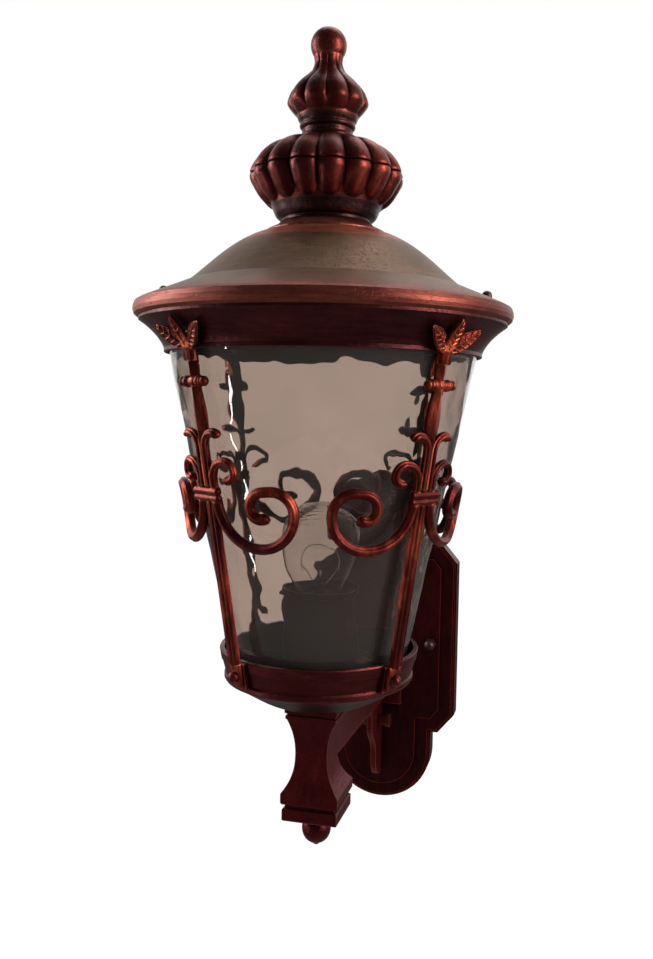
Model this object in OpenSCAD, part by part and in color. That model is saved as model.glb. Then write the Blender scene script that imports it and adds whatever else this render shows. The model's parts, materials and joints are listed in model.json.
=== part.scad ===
/* [Place] */
// Distance from the wall to the lantern's upright axis
wall_to_axis = 245; // [225:1:290]
// Turn of the cage and roof about the upright axis, in degrees
cage_turn = 13; // [-45:1:45]
// Height of the cup's seat on the pedestal, above the wall plate's centre
seat_z = 4; // [-5:1:30]
// Clearance between pieces that fit together
fit = 0.3; // [0.2:0.05:0.5]

/* [Wall plate] */
// Half width of the plate's body
plate_half_w = 74; // [70:1:90]
// Depth of the cast pan from the wall to its border
plate_depth = 20; // [16:1:30]
// Wall of the cast pan
plate_wall = 3.5; // [2.5:0.5:5]
// Half height of the plate's straight sides
plate_side_h = 76; // [70:1:95]
// Width of the cut corners
corner_w = 16; // [10:1:20]
// Height of the cut corners
corner_h = 19; // [12:1:22]
// Radius of the round lobe at the top and bottom
lobe_r = 51; // [42:1:54]
// Height of each lobe's centre from the plate's centre
lobe_z = 115; // [105:1:130]
// Width of the low border round the raised field
border_w = 15; // [10:1:18]
// Height of the raised field over the border
field_raise = 3; // [2:0.5:5]

/* [Wall fixing] */
// Spacing of the two studs that hold the plate
stud_spacing = 100; // [84:1:104]
// Height of the studs under the plate's centre
stud_drop = 4; // [0:1:10]
// Radius of the threaded studs
stud_r = 2.4; // [2:0.1:3]
// Spacing of the bracket's screw holes
box_spacing = 70; // [60:1:76]
// Radius of the bracket's screw holes
box_hole_r = 2.6; // [2:0.1:3.2]
// Thickness of the steel bracket
bracket_t = 2.5; // [2:0.5:4]
// Width of the steel bracket
bracket_w = 16; // [14:1:22]

/* [Pedestal and arm] */
// Half width of the pedestal's slabs
pedestal_half = 21.5; // [20:0.5:26]
// Half width of the pedestal's top moulding
moulding_half = 20; // [18:0.5:24]
// Half width of the pedestal's waist
waist_half = 12.5; // [11:0.5:15]
// Height of the pedestal from the lower slab to the seat
pedestal_h = 90; // [84:1:110]
// Height of the arm where it leaves the pedestal
arm_h = 30; // [26:1:34]
// Depth of the arm's top under the seat
arm_drop = 16; // [14:1:24]
// Radius of the wire way through the arm
wire_r = 5; // [4:0.5:6]
// Thickness of the arm's foot against the plate
foot_t = 6; // [4:0.5:10]
// Length of the heel under the arm, down the plate
heel_l = 88; // [70:1:96]
// Reach of the heel from the plate
heel_reach = 45; // [36:1:60]
// Thickness of the heel
heel_t = 5; // [4:0.5:12]
// Radius of the bolt through the heel
heel_bolt_r = 4; // [3:0.25:5]

/* [Cup] */
// Radius of the cup's rim
cup_r = 75; // [72:0.5:84]
// Height of the cup from its seat to its rim
cup_h = 43; // [40:1:52]
// Wall of the cup
cup_wall = 3; // [2.5:0.5:4]
// Radius of the flat seat under the cup
cup_foot_r = 35; // [33:1:40]
// Height of the ledge that holds the glass, above the seat
ledge_h = 24; // [22:1:26]
// Thickness of the glass's seal on the ledge
seal_t = 2; // [1:0.5:3]
// Height of the screws that hold the straps, above the seat
lug_h = 33; // [30:0.5:35]
// Thickness of the lugs under the straps
lug_t = 3.4; // [2:0.2:5]

/* [Glass] */
// Height of the glass
glass_h = 238.5; // [200:1:280]
// Outer radius of the glass at its top
glass_top_r = 114.9; // [108:0.1:116]
// Outer radius of the glass at its bottom
glass_bottom_r = 64.9; // [62:0.1:66]
// Wall of the glass
glass_wall = 3; // [2:0.5:4]

/* [Upper ring] */
// Wall of the upper ring
ring_wall = 2.4; // [2:0.2:4]
// Height of the upper ring
ring_h = 25; // [23:0.5:32]
// Length of glass inside the upper ring
ring_lap = 3; // [2:0.5:5]
// Radius of the upper ring's flange
flange_r = 136; // [132:0.5:139]
// Distance of the roof studs from the axis
roof_stud_at = 121; // [119:0.5:124]

/* [Roof] */
// Radius of the roof's rim
rim_r = 140; // [139:0.5:150]
// Height of the rim's band
rim_h = 12; // [10:0.5:16]
// Rise of the roof's sloping flange
slope_h = 14; // [9:0.5:16]
// Radius where the flange turns up into the dome
dome_r = 102; // [96:0.5:108]
// Height of the dome above the flange
dome_h = 39; // [34:0.5:60]
// Radius of the finial's seat on the dome
crown_seat_r = 45; // [44:0.5:50]
// Wall of the roof
roof_wall = 2.8; // [2:0.2:4]

/* [Finial] */
// Radius over the lobes of the crown
crown_r = 57; // [54:0.5:62]
// Number of lobes on the crown
crown_lobes = 16; // [12:1:18]
// Height of the crown from the dome to the small bulb
crown_h = 75.5; // [68:0.5:86]
// Depth of the valleys between the crown's lobes
crown_valley = 5.5; // [3:0.5:7]
// Radius over the lobes of the small bulb
bulb_r = 30; // [26:0.5:32]
// Number of lobes on the small bulb
bulb_lobes = 10; // [8:1:12]
// Height of the small bulb and its neck, up to the ball
bulb_h = 54; // [48:1:62]
// Depth of the valleys between the small bulb's lobes
bulb_valley = 3; // [2:0.5:4]
// Radius of the ball on top
ball_r = 13.3; // [11:0.1:15]
// Radius of the rod that holds the finial
rod_r = 4; // [3:0.25:4.5]

/* [Straps] */
// Thickness of the straps
strap_t = 5.5; // [4.5:0.5:7]
// Half width of the lower bar of each strap
bar_half = 5; // [4:0.5:6]
// Half width of the spear-shaped stem
spear_half = 6.5; // [4.5:0.5:8]
// Height of the double collar above the strap's screw
low_collar_v = 133; // [125:1:145]
// Height of the upper collar above the strap's screw
top_collar_v = 210; // [200:1:216]
// Half length of the double collar
low_collar_half = 14; // [12:0.5:16]
// Half length of the upper collar
top_collar_half = 14.5; // [12:0.5:17]
// Radius of the scroll bars
scroll_r = 3.5; // [2.5:0.25:4]
// Radius of the bars in the small curls
curl_r = 2.8; // [2:0.2:3.2]
// Length of the side leaves at the top of each strap
leaf_l = 29; // [22:1:30]
// Length of the middle leaf at the top of each strap
mid_leaf_l = 24; // [20:1:25]
// Half width of the leaves
leaf_half = 5; // [4:0.5:6]
// Thickness of the leaves
leaf_t = 2.6; // [2:0.2:3.4]

/* [Lamp] */
// Radius of the cover round the lampholder
cover_r = 28.9; // [26:0.1:32]
// Height of the cover round the lampholder
cover_h = 82; // [76:1:90]
// Wall of the cover round the lampholder
cover_wall = 1.2; // [0.8:0.1:2]
// Radius of the lampholder
holder_r = 19; // [18.5:0.5:24]
// Height of the lampholder
holder_h = 66; // [62:1:72]
// Radius of the lamp's screw cap
cap_r = 13; // [12.5:0.1:13.2]
// Radius of the lamp's glass
lamp_r = 30.5; // [26:0.5:34]
// Overall length of the lamp
lamp_l = 116; // [105:1:130]
// Height of the glass stem inside the lamp
stem_h = 43.4; // [40:0.2:46]
// Radius of the threaded tube through the cup
nipple_r = 4.8; // [4:0.1:5]

/* [Hidden] */
$fn = 96;

axis_y = -wall_to_axis;
field_y = -(plate_depth + field_raise);
reach = wall_to_axis + field_y;
cup_top_z = seat_z + cup_h;
floor_t = 5.5;
floor_z = seat_z + floor_t;
ledge_z = seat_z + ledge_h;
glass_z = ledge_z + seal_t;
glass_top_z = glass_z + glass_h;
glass_slope = (glass_top_r - glass_bottom_r) / glass_h;
ring_z = glass_top_z - ring_lap;
ring_in_r = glass_top_r + 2 * fit;
ring_out_r = ring_in_r + ring_wall;
roof_z = ring_z + ring_h;
slope_z = roof_z + rim_h;
dome_z = slope_z + slope_h;
crown_z = dome_z + dome_h;

function mix(a, b, t) = a + (b - a) * t;
function bezier(p, n) = [
    for (i = [0 : n])
        let (t = i / n, s = 1 - t)
            s * s * s * p[0] + 3 * s * s * t * p[1] + 3 * s * t * t * p[2] + t * t * t * p[3]
];
function flip(list) = [for (i = [len(list) - 1 : -1 : 0]) list[i]];
function mirrored(half) = concat(half, [for (p = flip(half)) [-p[0], p[1]]]);

module on_axis() {
    translate([0, axis_y, 0]) children();
}

module on_cage(angle) {
    on_axis() rotate([0, 0, cage_turn + angle]) children();
}

module lathe(points) {
    rotate_extrude() polygon(points);
}

module along_y(y, depth) {
    translate([0, y + depth, 0]) rotate([90, 0, 0]) linear_extrude(depth) children();
}

module cap_nut(r, flats_h) {
    cylinder(r = r, h = flats_h, $fn = 6);
    dome_r = r * 0.86;
    translate([0, 0, flats_h - fit]) cylinder(r = dome_r, h = r * 0.4 + fit);
    translate([0, 0, flats_h + r * 0.4]) intersection() {
        sphere(r = dome_r);
        cylinder(r = dome_r + 1, h = dome_r + 1);
    }
}

// Bars that follow a bent path
// A step of a path is [radius, turn], an arc that turns left for a positive turn, or [0, length], straight on
function step_length(s) = s[0] == 0 ? s[1] : s[0] * abs(s[1]) * PI / 180;
function step_end(s, p, a) =
    s[0] == 0 ? p + s[1] * [cos(a), sin(a)]
    : let (side = sign(s[1]))
      let (across = a + 90 * side)
      p + s[0] * ([cos(across), sin(across)] - [cos(across + s[1]), sin(across + s[1])]);
function step_turn(s) = s[0] == 0 ? 0 : s[1];
function part_of(s, t) = s[0] == 0 ? [0, s[1] * t] : [s[0], s[1] * t];
function walk(steps, gap, p, a, i = 0) =
    i == len(steps) ? [[p, a]]
    : let (n = max(1, round(step_length(steps[i]) / gap)))
      concat(
          [for (k = [0 : n - 1])
              let (s = part_of(steps[i], k / n))
              [step_end(s, p, a), a + step_turn(s)]],
          walk(steps, gap, step_end(steps[i], p, a), a + step_turn(steps[i]), i + 1));

bar_sides = 8;
strap_gap = 2.3;
lug_z = seat_z + lug_h;
strap_slope = (glass_top_r - glass_slope * ring_lap + strap_gap - cup_r - lug_t) / (ring_z - cup_top_z);
strap_tilt = atan(strap_slope);
strap_foot_r = cup_r + lug_t - strap_slope * (cup_top_z - lug_z);
head_v = (ring_z - lug_z) / cos(strap_tilt);
head_out = (ring_out_r - strap_foot_r - strap_slope * (ring_z - lug_z) + fit) / cos(strap_tilt);

// A point of a strap's flat drawing, wrapped round the axis at a distance from the strap's inner face
function wrapped(p, out) =
    let (r = strap_foot_r + p[1] * sin(strap_tilt) + out, a = p[0] / r * 180 / PI)
    [r * sin(a), r * (1 - cos(a)) - out, p[1]];
function outward(p, out) =
    let (a = p[0] / (strap_foot_r + p[1] * sin(strap_tilt) + out) * 180 / PI)
    [sin(a), -cos(a), 0];
function unit(v) = v / norm(v);

module bent_bar(steps, start, heading, gap, r, end_r, out) {
    path = walk(steps, gap, start, heading);
    n = len(path);
    points = [for (q = path) wrapped(q[0], out)];
    rings = [
        for (i = [0 : n - 1])
            let (
                tangent = unit(points[min(i + 1, n - 1)] - points[max(i - 1, 0)]),
                side = unit(cross(tangent, outward(path[i][0], out))),
                up = cross(side, tangent),
                ring_r = mix(r, end_r, i / (n - 1)))
            [for (k = [0 : bar_sides - 1])
                let (a = (k + 0.5) * 360 / bar_sides)
                points[i] + ring_r * (cos(a) * up + sin(a) * side)]
    ];
    polyhedron(
        points = [for (ring = rings) each ring],
        faces = concat(
            [for (i = [0 : n - 2], k = [0 : bar_sides - 1])
                let (next = (k + 1) % bar_sides)
                [i * bar_sides + k, (i + 1) * bar_sides + k,
                 (i + 1) * bar_sides + next, i * bar_sides + next]],
            [[for (k = [0 : bar_sides - 1]) k],
             [for (k = [bar_sides - 1 : -1 : 0]) (n - 1) * bar_sides + k]]),
        convexity = 6);
}

// A turned body with rounded lobes: rows are [radius over the lobes, height, depth of the valleys]
lobe_steps = 6;
module lobed(rows, lobes) {
    m = lobes * lobe_steps;
    polyhedron(
        points = [
            for (row = rows, k = [0 : m - 1])
                let (a = k * 360 / m, r = row[0] - row[2] * (1 - abs(cos(a * lobes / 2))))
                [r * cos(a), r * sin(a), row[1]]
        ],
        faces = concat(
            [for (i = [0 : len(rows) - 2], k = [0 : m - 1])
                let (next = (k + 1) % m)
                [i * m + k, (i + 1) * m + k, (i + 1) * m + next, i * m + next]],
            [[for (k = [0 : m - 1]) k], [for (k = [m - 1 : -1 : 0]) (len(rows) - 1) * m + k]]),
        convexity = 4);
}

// Wall plate and its fixing
edge_steps = [[0, 3], [1.5, 1.2], [3, 0]];
corner_turn = atan(corner_w / corner_h);
stud_z = -stud_drop;
arm_bottom_z = seat_z - arm_drop - arm_h;
wire_z = arm_bottom_z + 9;
arm_screw_x = 16;

module plate_outline(d) {
    top = plate_side_h + corner_h - d;
    w = plate_half_w - d;
    side = plate_side_h - d * tan(corner_turn / 2);
    cut = plate_half_w - corner_w - d * tan((90 - corner_turn) / 2);
    polygon([
        [w, side], [cut, top], [-cut, top], [-w, side],
        [-w, -side], [-cut, -top], [cut, -top], [w, -side]]);
    for (s = [-1, 1]) {
        translate([0, s * lobe_z]) circle(r = lobe_r - d);
    }
    square([2 * (lobe_r - d), 2 * lobe_z], center = true);
}

module at_studs(y) {
    for (s = [-1, 1]) {
        translate([s * stud_spacing / 2, y, stud_z]) rotate([90, 0, 0]) children();
    }
}

module at_arm_screws(y) {
    for (s = [-1, 1]) {
        translate([s * arm_screw_x, y, wire_z]) rotate([90, 0, 0]) children();
    }
}

module wall_plate() {
    color("#4a1414") difference() {
        union() {
            for (step = edge_steps) {
                along_y(-plate_depth + step[1], plate_depth - step[1]) plate_outline(step[0]);
            }
            along_y(field_y, -field_y) plate_outline(border_w);
        }
        along_y(-plate_depth + plate_wall, plate_depth) plate_outline(plate_wall + edge_steps[2][0]);
        along_y(field_y + plate_wall, -field_y) plate_outline(border_w + plate_wall);
        at_studs(1) cylinder(r = stud_r + fit, h = 2 * plate_depth);
        at_arm_screws(1) cylinder(r = stud_r + fit, h = 2 * plate_depth);
        translate([0, 1, wire_z]) rotate([90, 0, 0]) cylinder(r = wire_r, h = 2 * plate_depth);
    }
}

module wall_bracket() {
    color("#9a9a96") difference() {
        translate([-stud_spacing / 2 - 9, -bracket_t, stud_z - bracket_w / 2])
            cube([stud_spacing + 18, bracket_t, bracket_w]);
        at_studs(1) cylinder(r = stud_r + fit, h = bracket_t + 2);
        for (s = [-1, 1]) {
            translate([s * box_spacing / 2, 1, stud_z]) rotate([90, 0, 0])
                cylinder(r = box_hole_r, h = bracket_t + 2);
        }
    }
}

plate_nut_r = 6;
plate_nut_h = 4;
module plate_studs() {
    color("#8c8c88") at_studs(0) cylinder(r = stud_r, h = -field_y + plate_nut_h);
}

module plate_cap_nuts() {
    color("#5a4a46") difference() {
        at_studs(field_y) cap_nut(plate_nut_r, plate_nut_h);
        at_studs(0) cylinder(r = stud_r + fit, h = -field_y + plate_nut_h + fit);
    }
}

// Pedestal and arm
base_z = seat_z - pedestal_h;
slab_h = 10;
groove_h = 3;
slab2_h = 8.5;
moulding_h = 12;
flare_z = base_z + slab_h + groove_h + slab2_h;
waist_z = mix(flare_z, seat_z - moulding_h, 0.53);
arm_end_drop = 10;
heel_bolt_in = 19;
heel_bolt_z = arm_bottom_z - 37;
heel_bolt_l = 23;
heel_bolt_out = 8;

function slabs(half) = [
    [half - 1, base_z], [half, base_z + 1], [half, base_z + slab_h - 1], [half - 1, base_z + slab_h],
    [half - 2, base_z + slab_h], [half - 2, base_z + slab_h + groove_h],
    [half, base_z + slab_h + groove_h], [half + 1, base_z + slab_h + groove_h + 1.5], [half + 1, flare_z]
];
function moulding(half) = [
    [half - 1, seat_z - moulding_h], [half, seat_z - moulding_h + 1],
    [half, seat_z - moulding_h + 3], [half - 1, seat_z - moulding_h + 3.5],
    [half - 1, seat_z - moulding_h + 4.5], [half + 0.5, seat_z - moulding_h + 5.5],
    [half + 0.5, seat_z - 2], [half - 1, seat_z]
];
function waist(half, narrow, top) = concat(
    bezier([[half + 1, flare_z], [mix(half, narrow, 0.62), flare_z + 8.5],
            [narrow, waist_z - 13], [narrow, waist_z]], 8),
    bezier([[narrow, waist_z], [narrow, waist_z + 11],
            [mix(top, narrow, 0.7), seat_z - moulding_h - 8], [top - 1, seat_z - moulding_h]], 8));
function pedestal_outline(narrow) =
    concat(slabs(pedestal_half), waist(pedestal_half, narrow, moulding_half), moulding(moulding_half));

front_recess = 2.5;
rear_narrow = 10;
module pedestal() {
    intersection() {
        along_y(-pedestal_half - 2, 2 * pedestal_half + 4) polygon(mirrored(pedestal_outline(waist_half)));
        translate([-pedestal_half - 2, 0, 0]) rotate([90, 0, 90]) linear_extrude(2 * pedestal_half + 4)
            polygon(concat(
                pedestal_outline(rear_narrow),
                [for (p = flip(pedestal_outline(moulding_half - front_recess))) [-p[0], p[1]]]));
    }
}

module sideways(half, points) {
    translate([-half, 0, 0]) rotate([90, 0, 90]) linear_extrude(2 * half) polygon(points);
}

function arm_outline() = concat(
    [[0, arm_bottom_z], [0, arm_bottom_z + arm_h]],
    [[reach * 0.2, arm_bottom_z + arm_h - 1], [reach * 0.5, arm_bottom_z + arm_h - 6],
     [reach, arm_bottom_z + arm_h - 12]],
    [[reach, arm_bottom_z - arm_end_drop], [reach * 0.5, arm_bottom_z - 4]]);

function heel_outline() =
    let (low_z = arm_bottom_z - 8 - heel_l, knee = reach - heel_reach)
    concat(
        bezier([[reach, low_z], [reach - 20, low_z], [reach - 27, low_z + 10], [reach - 27, low_z + 28]], 8),
        bezier([[reach - 27, low_z + 28], [reach - 27, low_z + 44],
                [knee - 3, arm_bottom_z - 48], [knee, arm_bottom_z - 34]], 8),
        bezier([[knee, arm_bottom_z - 34], [knee + 2, arm_bottom_z - 24],
                [knee - 5, arm_bottom_z - 14], [knee - 30, arm_bottom_z - 3]], 8),
        [[reach, arm_bottom_z - 3]]);

module at_heel_bolt(x) {
    on_axis() translate([x, reach - heel_bolt_in, heel_bolt_z]) rotate([0, 90, 0]) children();
}

drop_pin_r = 4;
drop_pin_h = 8;
tube_in_arm = 26;
module arm() {
    color("#561a1a") difference() {
        on_axis() union() {
            pedestal();
            sideways(waist_half, arm_outline());
            sideways(heel_t / 2, heel_outline());
            translate([-22, reach - foot_t, arm_bottom_z - 24]) cube([44, foot_t, arm_h + 20]);
        }
        on_axis() translate([0, 0, wire_z - wire_r]) cylinder(r = wire_r, h = pedestal_h);
        on_axis() translate([0, 0, seat_z - tube_in_arm]) cylinder(r = nipple_r + fit, h = pedestal_h);
        on_axis() translate([0, reach + 1, wire_z]) rotate([90, 0, 0]) cylinder(r = wire_r, h = reach + 1);
        on_axis() translate([0, 0, base_z - 1]) cylinder(r = drop_pin_r + fit, h = drop_pin_h + 1 + fit);
        at_arm_screws(field_y + 1) cylinder(r = stud_r + fit, h = foot_t + 2);
        at_heel_bolt(-heel_t) cylinder(r = heel_bolt_r + fit, h = 2 * heel_t);
    }
}

screw_head_r = 4.4;
screw_head_h = 2.6;
module arm_screws() {
    color("#8c8c88") at_arm_screws(field_y + plate_wall) {
        cylinder(r = stud_r, h = plate_wall + foot_t - 0.5);
        translate([0, 0, -screw_head_h]) cylinder(r = screw_head_r, h = screw_head_h);
    }
}

module heel_bolt() {
    color("#b4552e") at_heel_bolt(-heel_t / 2 - heel_bolt_out) {
        cylinder(r = heel_bolt_r + 2.4, h = screw_head_h);
        cylinder(r = heel_bolt_r, h = heel_bolt_l);
    }
}

heel_nut_l = heel_bolt_l - heel_t - heel_bolt_out - 1;
module heel_nut() {
    color("#c8683c") difference() {
        at_heel_bolt(heel_t / 2) {
            cylinder(r = heel_bolt_r + 1.6, h = heel_nut_l);
            translate([0, 0, heel_nut_l]) cylinder(r = heel_bolt_r + 2.4, h = 3);
        }
        at_heel_bolt(-heel_t / 2 - heel_bolt_out) cylinder(r = heel_bolt_r + fit, h = heel_bolt_l + fit);
    }
}

module drop_finial() {
    color("#561a1a") on_axis() lathe(concat(
        [[0, base_z + drop_pin_h], [drop_pin_r, base_z + drop_pin_h], [drop_pin_r, base_z],
         [13, base_z], [13, base_z - 2.5], [9.2, base_z - 4.5]],
        bezier([[9.2, base_z - 4.5], [12, base_z - 8], [12, base_z - 14], [9, base_z - 18.5]], 8),
        bezier([[9, base_z - 18.5], [7, base_z - 21.5], [3.8, base_z - 22], [1.8, base_z - 24.3]], 5),
        [[0, base_z - 25.2]]));
}

// Cup under the glass
ledge_in_r = glass_bottom_r - glass_wall - 3;
lug_half = 7;
lug_low = 10;
lug_high = 9;
lug_bite = 1.5;
pad_t = 3;
lug_screw_r = 2;
lug_screw_l = 8;
tube_top = 19;
washer_t = 1.5;
tube_nut_r = 8;
tube_nut_h = 5;
belly_h = 19;

function cup_wall_r(z) = cup_r - strap_slope * (cup_top_z - z);

module on_strap(k) {
    on_cage(k) translate([0, -strap_foot_r, lug_z]) rotate([strap_tilt, 0, 0]) children();
}

module on_each_strap() {
    for (k = [-135 : 90 : 135]) {
        on_strap(k) children();
    }
}

// A cylinder that points inwards from a distance outside the strap's inner face
module inwards(out, r, h, v = 0) {
    translate([0, -out, v]) rotate([-90, 0, 0]) cylinder(r = r, h = h);
}

module cup() {
    low_z = seat_z + belly_h;
    color("#561a1a") difference() {
        union() {
            on_axis() lathe(concat(
                [[0, seat_z], [cup_foot_r, seat_z]],
                bezier([[cup_foot_r, seat_z], [cup_foot_r + 12, seat_z + 3],
                        [cup_wall_r(low_z) - 14, low_z - 7], [cup_wall_r(low_z), low_z]], 8),
                [[cup_wall_r(low_z) + 1, low_z + 1.5], [cup_wall_r(low_z) + 1, low_z + 4],
                 [cup_wall_r(low_z), low_z + 5.5], [cup_wall_r(cup_top_z - 8), cup_top_z - 8],
                 [cup_wall_r(cup_top_z - 8) + 0.7, cup_top_z - 7.5], [cup_r + 0.4, cup_top_z - 1],
                 [cup_r, cup_top_z], [cup_r - cup_wall, cup_top_z], [cup_wall_r(ledge_z) - cup_wall, ledge_z],
                 [ledge_in_r, ledge_z], [ledge_in_r, ledge_z - 5]],
                bezier([[ledge_in_r, ledge_z - 5], [ledge_in_r - 8, floor_z + 6],
                        [cup_foot_r + 8, floor_z + 1], [cup_foot_r - 2, floor_z]], 6),
                [[0, floor_z]]));
            on_each_strap() translate([-lug_half, 0, -lug_low])
                cube([2 * lug_half, lug_t + lug_bite, lug_low + lug_high]);
        }
        on_axis() translate([0, 0, seat_z - 1]) cylinder(r = nipple_r + fit, h = floor_t + 2);
        on_each_strap() inwards(1, lug_screw_r + fit, 12);
    }
}

module cup_tube() {
    color("#b8a060") on_axis() difference() {
        translate([0, 0, seat_z - tube_in_arm + 1]) cylinder(r = nipple_r, h = tube_in_arm - 1 + tube_top);
        translate([0, 0, seat_z - tube_in_arm]) cylinder(r = nipple_r - 1.2, h = tube_in_arm + tube_top + 2);
    }
}

cover_floor_z = floor_z + cover_wall;
module cup_washer() {
    color("#a8a8a2") on_axis() translate([0, 0, cover_floor_z]) difference() {
        cylinder(r = tube_nut_r + 2.5, h = washer_t);
        translate([0, 0, -1]) cylinder(r = nipple_r + fit, h = washer_t + 2);
    }
}

module cup_nut() {
    color("#b8a060") on_axis() translate([0, 0, cover_floor_z + washer_t]) difference() {
        cylinder(r = tube_nut_r, h = tube_nut_h, $fn = 6);
        translate([0, 0, -1]) cylinder(r = nipple_r + fit, h = tube_nut_h + 2);
    }
}

// Glass
seal_half = 3;
module glass_seal() {
    r = glass_bottom_r - glass_wall / 2;
    color("#2c2a28") on_axis() lathe([
        [r - seal_half, ledge_z], [r + seal_half, ledge_z],
        [r + seal_half, glass_z], [r - seal_half, glass_z]]);
}

module glass_shade() {
    color("#c9c3b4") on_axis() lathe([
        [glass_bottom_r - glass_wall, glass_z], [glass_bottom_r, glass_z],
        [glass_top_r, glass_top_z], [glass_top_r - glass_wall, glass_top_z]]);
}

// Lamp and its holder
lip_out = 2.4;
lip_h = 6;
holder_z = cover_floor_z + washer_t + tube_nut_h + fit;
holder_top_z = holder_z + holder_h;
holder_floor = 3;
shell_r = cap_r + 2 * fit;
shell_wall = 0.8;
mouth_h = 18;
cap_h = 25;
cap_z = holder_top_z - mouth_h - cap_h;
cap_tip_z = cap_z - 1;
contact_h = cap_tip_z - holder_z - holder_floor - shell_wall;
lamp_neck_z = cap_z + cap_h;
lamp_top_z = cap_z + lamp_l;
lamp_wall = 0.8;

module lamp_cover() {
    top_z = floor_z + cover_h;
    lip_z = top_z - lip_h;
    color("#3a2420") on_axis() difference() {
        lathe([
            [0, floor_z], [cover_r, floor_z], [cover_r, lip_z], [cover_r + lip_out, lip_z + 2],
            [cover_r + lip_out, top_z], [cover_r + lip_out - cover_wall, top_z],
            [cover_r + lip_out - cover_wall, lip_z + 2.5], [cover_r - cover_wall, lip_z + 0.5],
            [cover_r - cover_wall, cover_floor_z], [0, cover_floor_z]]);
        translate([0, 0, floor_z - 1]) cylinder(r = nipple_r + fit, h = cover_wall + 2);
    }
}

module lampholder() {
    color("#e4dfd2") on_axis() difference() {
        union() {
            translate([0, 0, holder_z]) cylinder(r = holder_r, h = holder_h);
            translate([0, 0, holder_top_z - 4]) cylinder(r = holder_r + 1.5, h = 4);
        }
        translate([0, 0, holder_z - 1]) cylinder(r = nipple_r + fit, h = holder_floor + 2);
        translate([0, 0, holder_z + holder_floor]) cylinder(r = shell_r + shell_wall + fit, h = holder_h);
        translate([0, 0, holder_top_z - mouth_h]) cylinder(r = holder_r - 1.5, h = mouth_h + 1);
    }
}

module lamp_shell() {
    color("#c8a040") on_axis() translate([0, 0, holder_z + holder_floor]) difference() {
        cylinder(r = shell_r + shell_wall, h = holder_h - holder_floor - mouth_h);
        translate([0, 0, shell_wall]) cylinder(r = shell_r, h = holder_h);
        translate([0, 0, -1]) cylinder(r = nipple_r + fit, h = 3);
    }
}

contact_out = nipple_r + 1;
module lamp_contact() {
    color("#c8a040") on_axis() translate([0, 0, holder_z + holder_floor + shell_wall]) {
        translate([contact_out, -2, 0]) cube([4, 4, contact_h]);
        translate([-3, -2, contact_h - shell_wall]) cube([contact_out + 7, 4, shell_wall]);
    }
}

module lamp_cap() {
    color("#b9b9b4") on_axis() difference() {
        lathe([
            [0, cap_tip_z], [4, cap_tip_z], [9, cap_z + 1.5], [cap_r - 0.6, cap_z + 2.5],
            [cap_r, cap_z + 4], [cap_r, lamp_neck_z], [0, lamp_neck_z]]);
        translate([0, 0, cap_z + 3.5]) cylinder(r = cap_r - lamp_wall, h = cap_h);
    }
}

function lamp_outline(d) = concat(
    bezier([[cap_r - d, lamp_neck_z], [cap_r + 0.5 - d, lamp_neck_z + 24],
            [lamp_r - d, lamp_top_z - 2 * lamp_r + 6], [lamp_r - d, lamp_top_z - lamp_r]], 12),
    bezier([[lamp_r - d, lamp_top_z - lamp_r], [lamp_r - d, lamp_top_z - 0.44 * lamp_r - d],
            [0.56 * lamp_r, lamp_top_z - d], [0, lamp_top_z - d]], 12));

module lamp_glass() {
    color("#e8e8e4") on_axis() lathe(concat(lamp_outline(0), flip(lamp_outline(lamp_wall))));
}

stem_foot_r = cap_r - lamp_wall - fit;
stem_foot_h = 6;
wire_lean = 35;
wire_from = stem_h * 0.55;
loop_r = lamp_r / 2;
module lamp_stem() {
    color("#d8d8d4") on_axis() translate([0, 0, lamp_neck_z]) {
        lathe([[0, -stem_foot_h], [stem_foot_r, -stem_foot_h], [stem_foot_r, 2 - stem_foot_h],
            [4, stem_foot_h - 2], [3, stem_h * 0.6], [2, stem_h * 0.7], [1.2, stem_h * 0.88],
            [2, stem_h * 0.92], [0, stem_h * 0.945]]);
        for (s = [-1, 1]) {
            translate([s * 1.6, 0, wire_from]) rotate([0, s * wire_lean, 0])
                cylinder(r = 0.4, h = stem_h * 0.55);
        }
        translate([0, 0, stem_h]) rotate([90, 0, 0])
            rotate_extrude(start = -18, angle = 216) translate([loop_r, 0]) circle(r = 0.35);
    }
}

// Upper ring that the roof sits on
ring_foot_h = 3;
ring_flange_h = 3;
stud_in_ring = 7;
boss_r = 6.5;
head_screw_up = 8.5;
head_screw_z = ring_z + head_screw_up;

function ring_cove(d) = bezier([
    [ring_out_r - d, ring_z + ring_foot_h], [ring_out_r + 2 - d, ring_z + ring_foot_h + 5.5],
    [mix(ring_out_r, flange_r, 0.4) - d, roof_z - 9.5], [flange_r - 1.5 - d, roof_z - ring_flange_h]], 10);

module at_roof_studs(z) {
    for (s = [-90, 90]) {
        on_cage(s) translate([0, -roof_stud_at, z]) children();
    }
}

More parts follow.
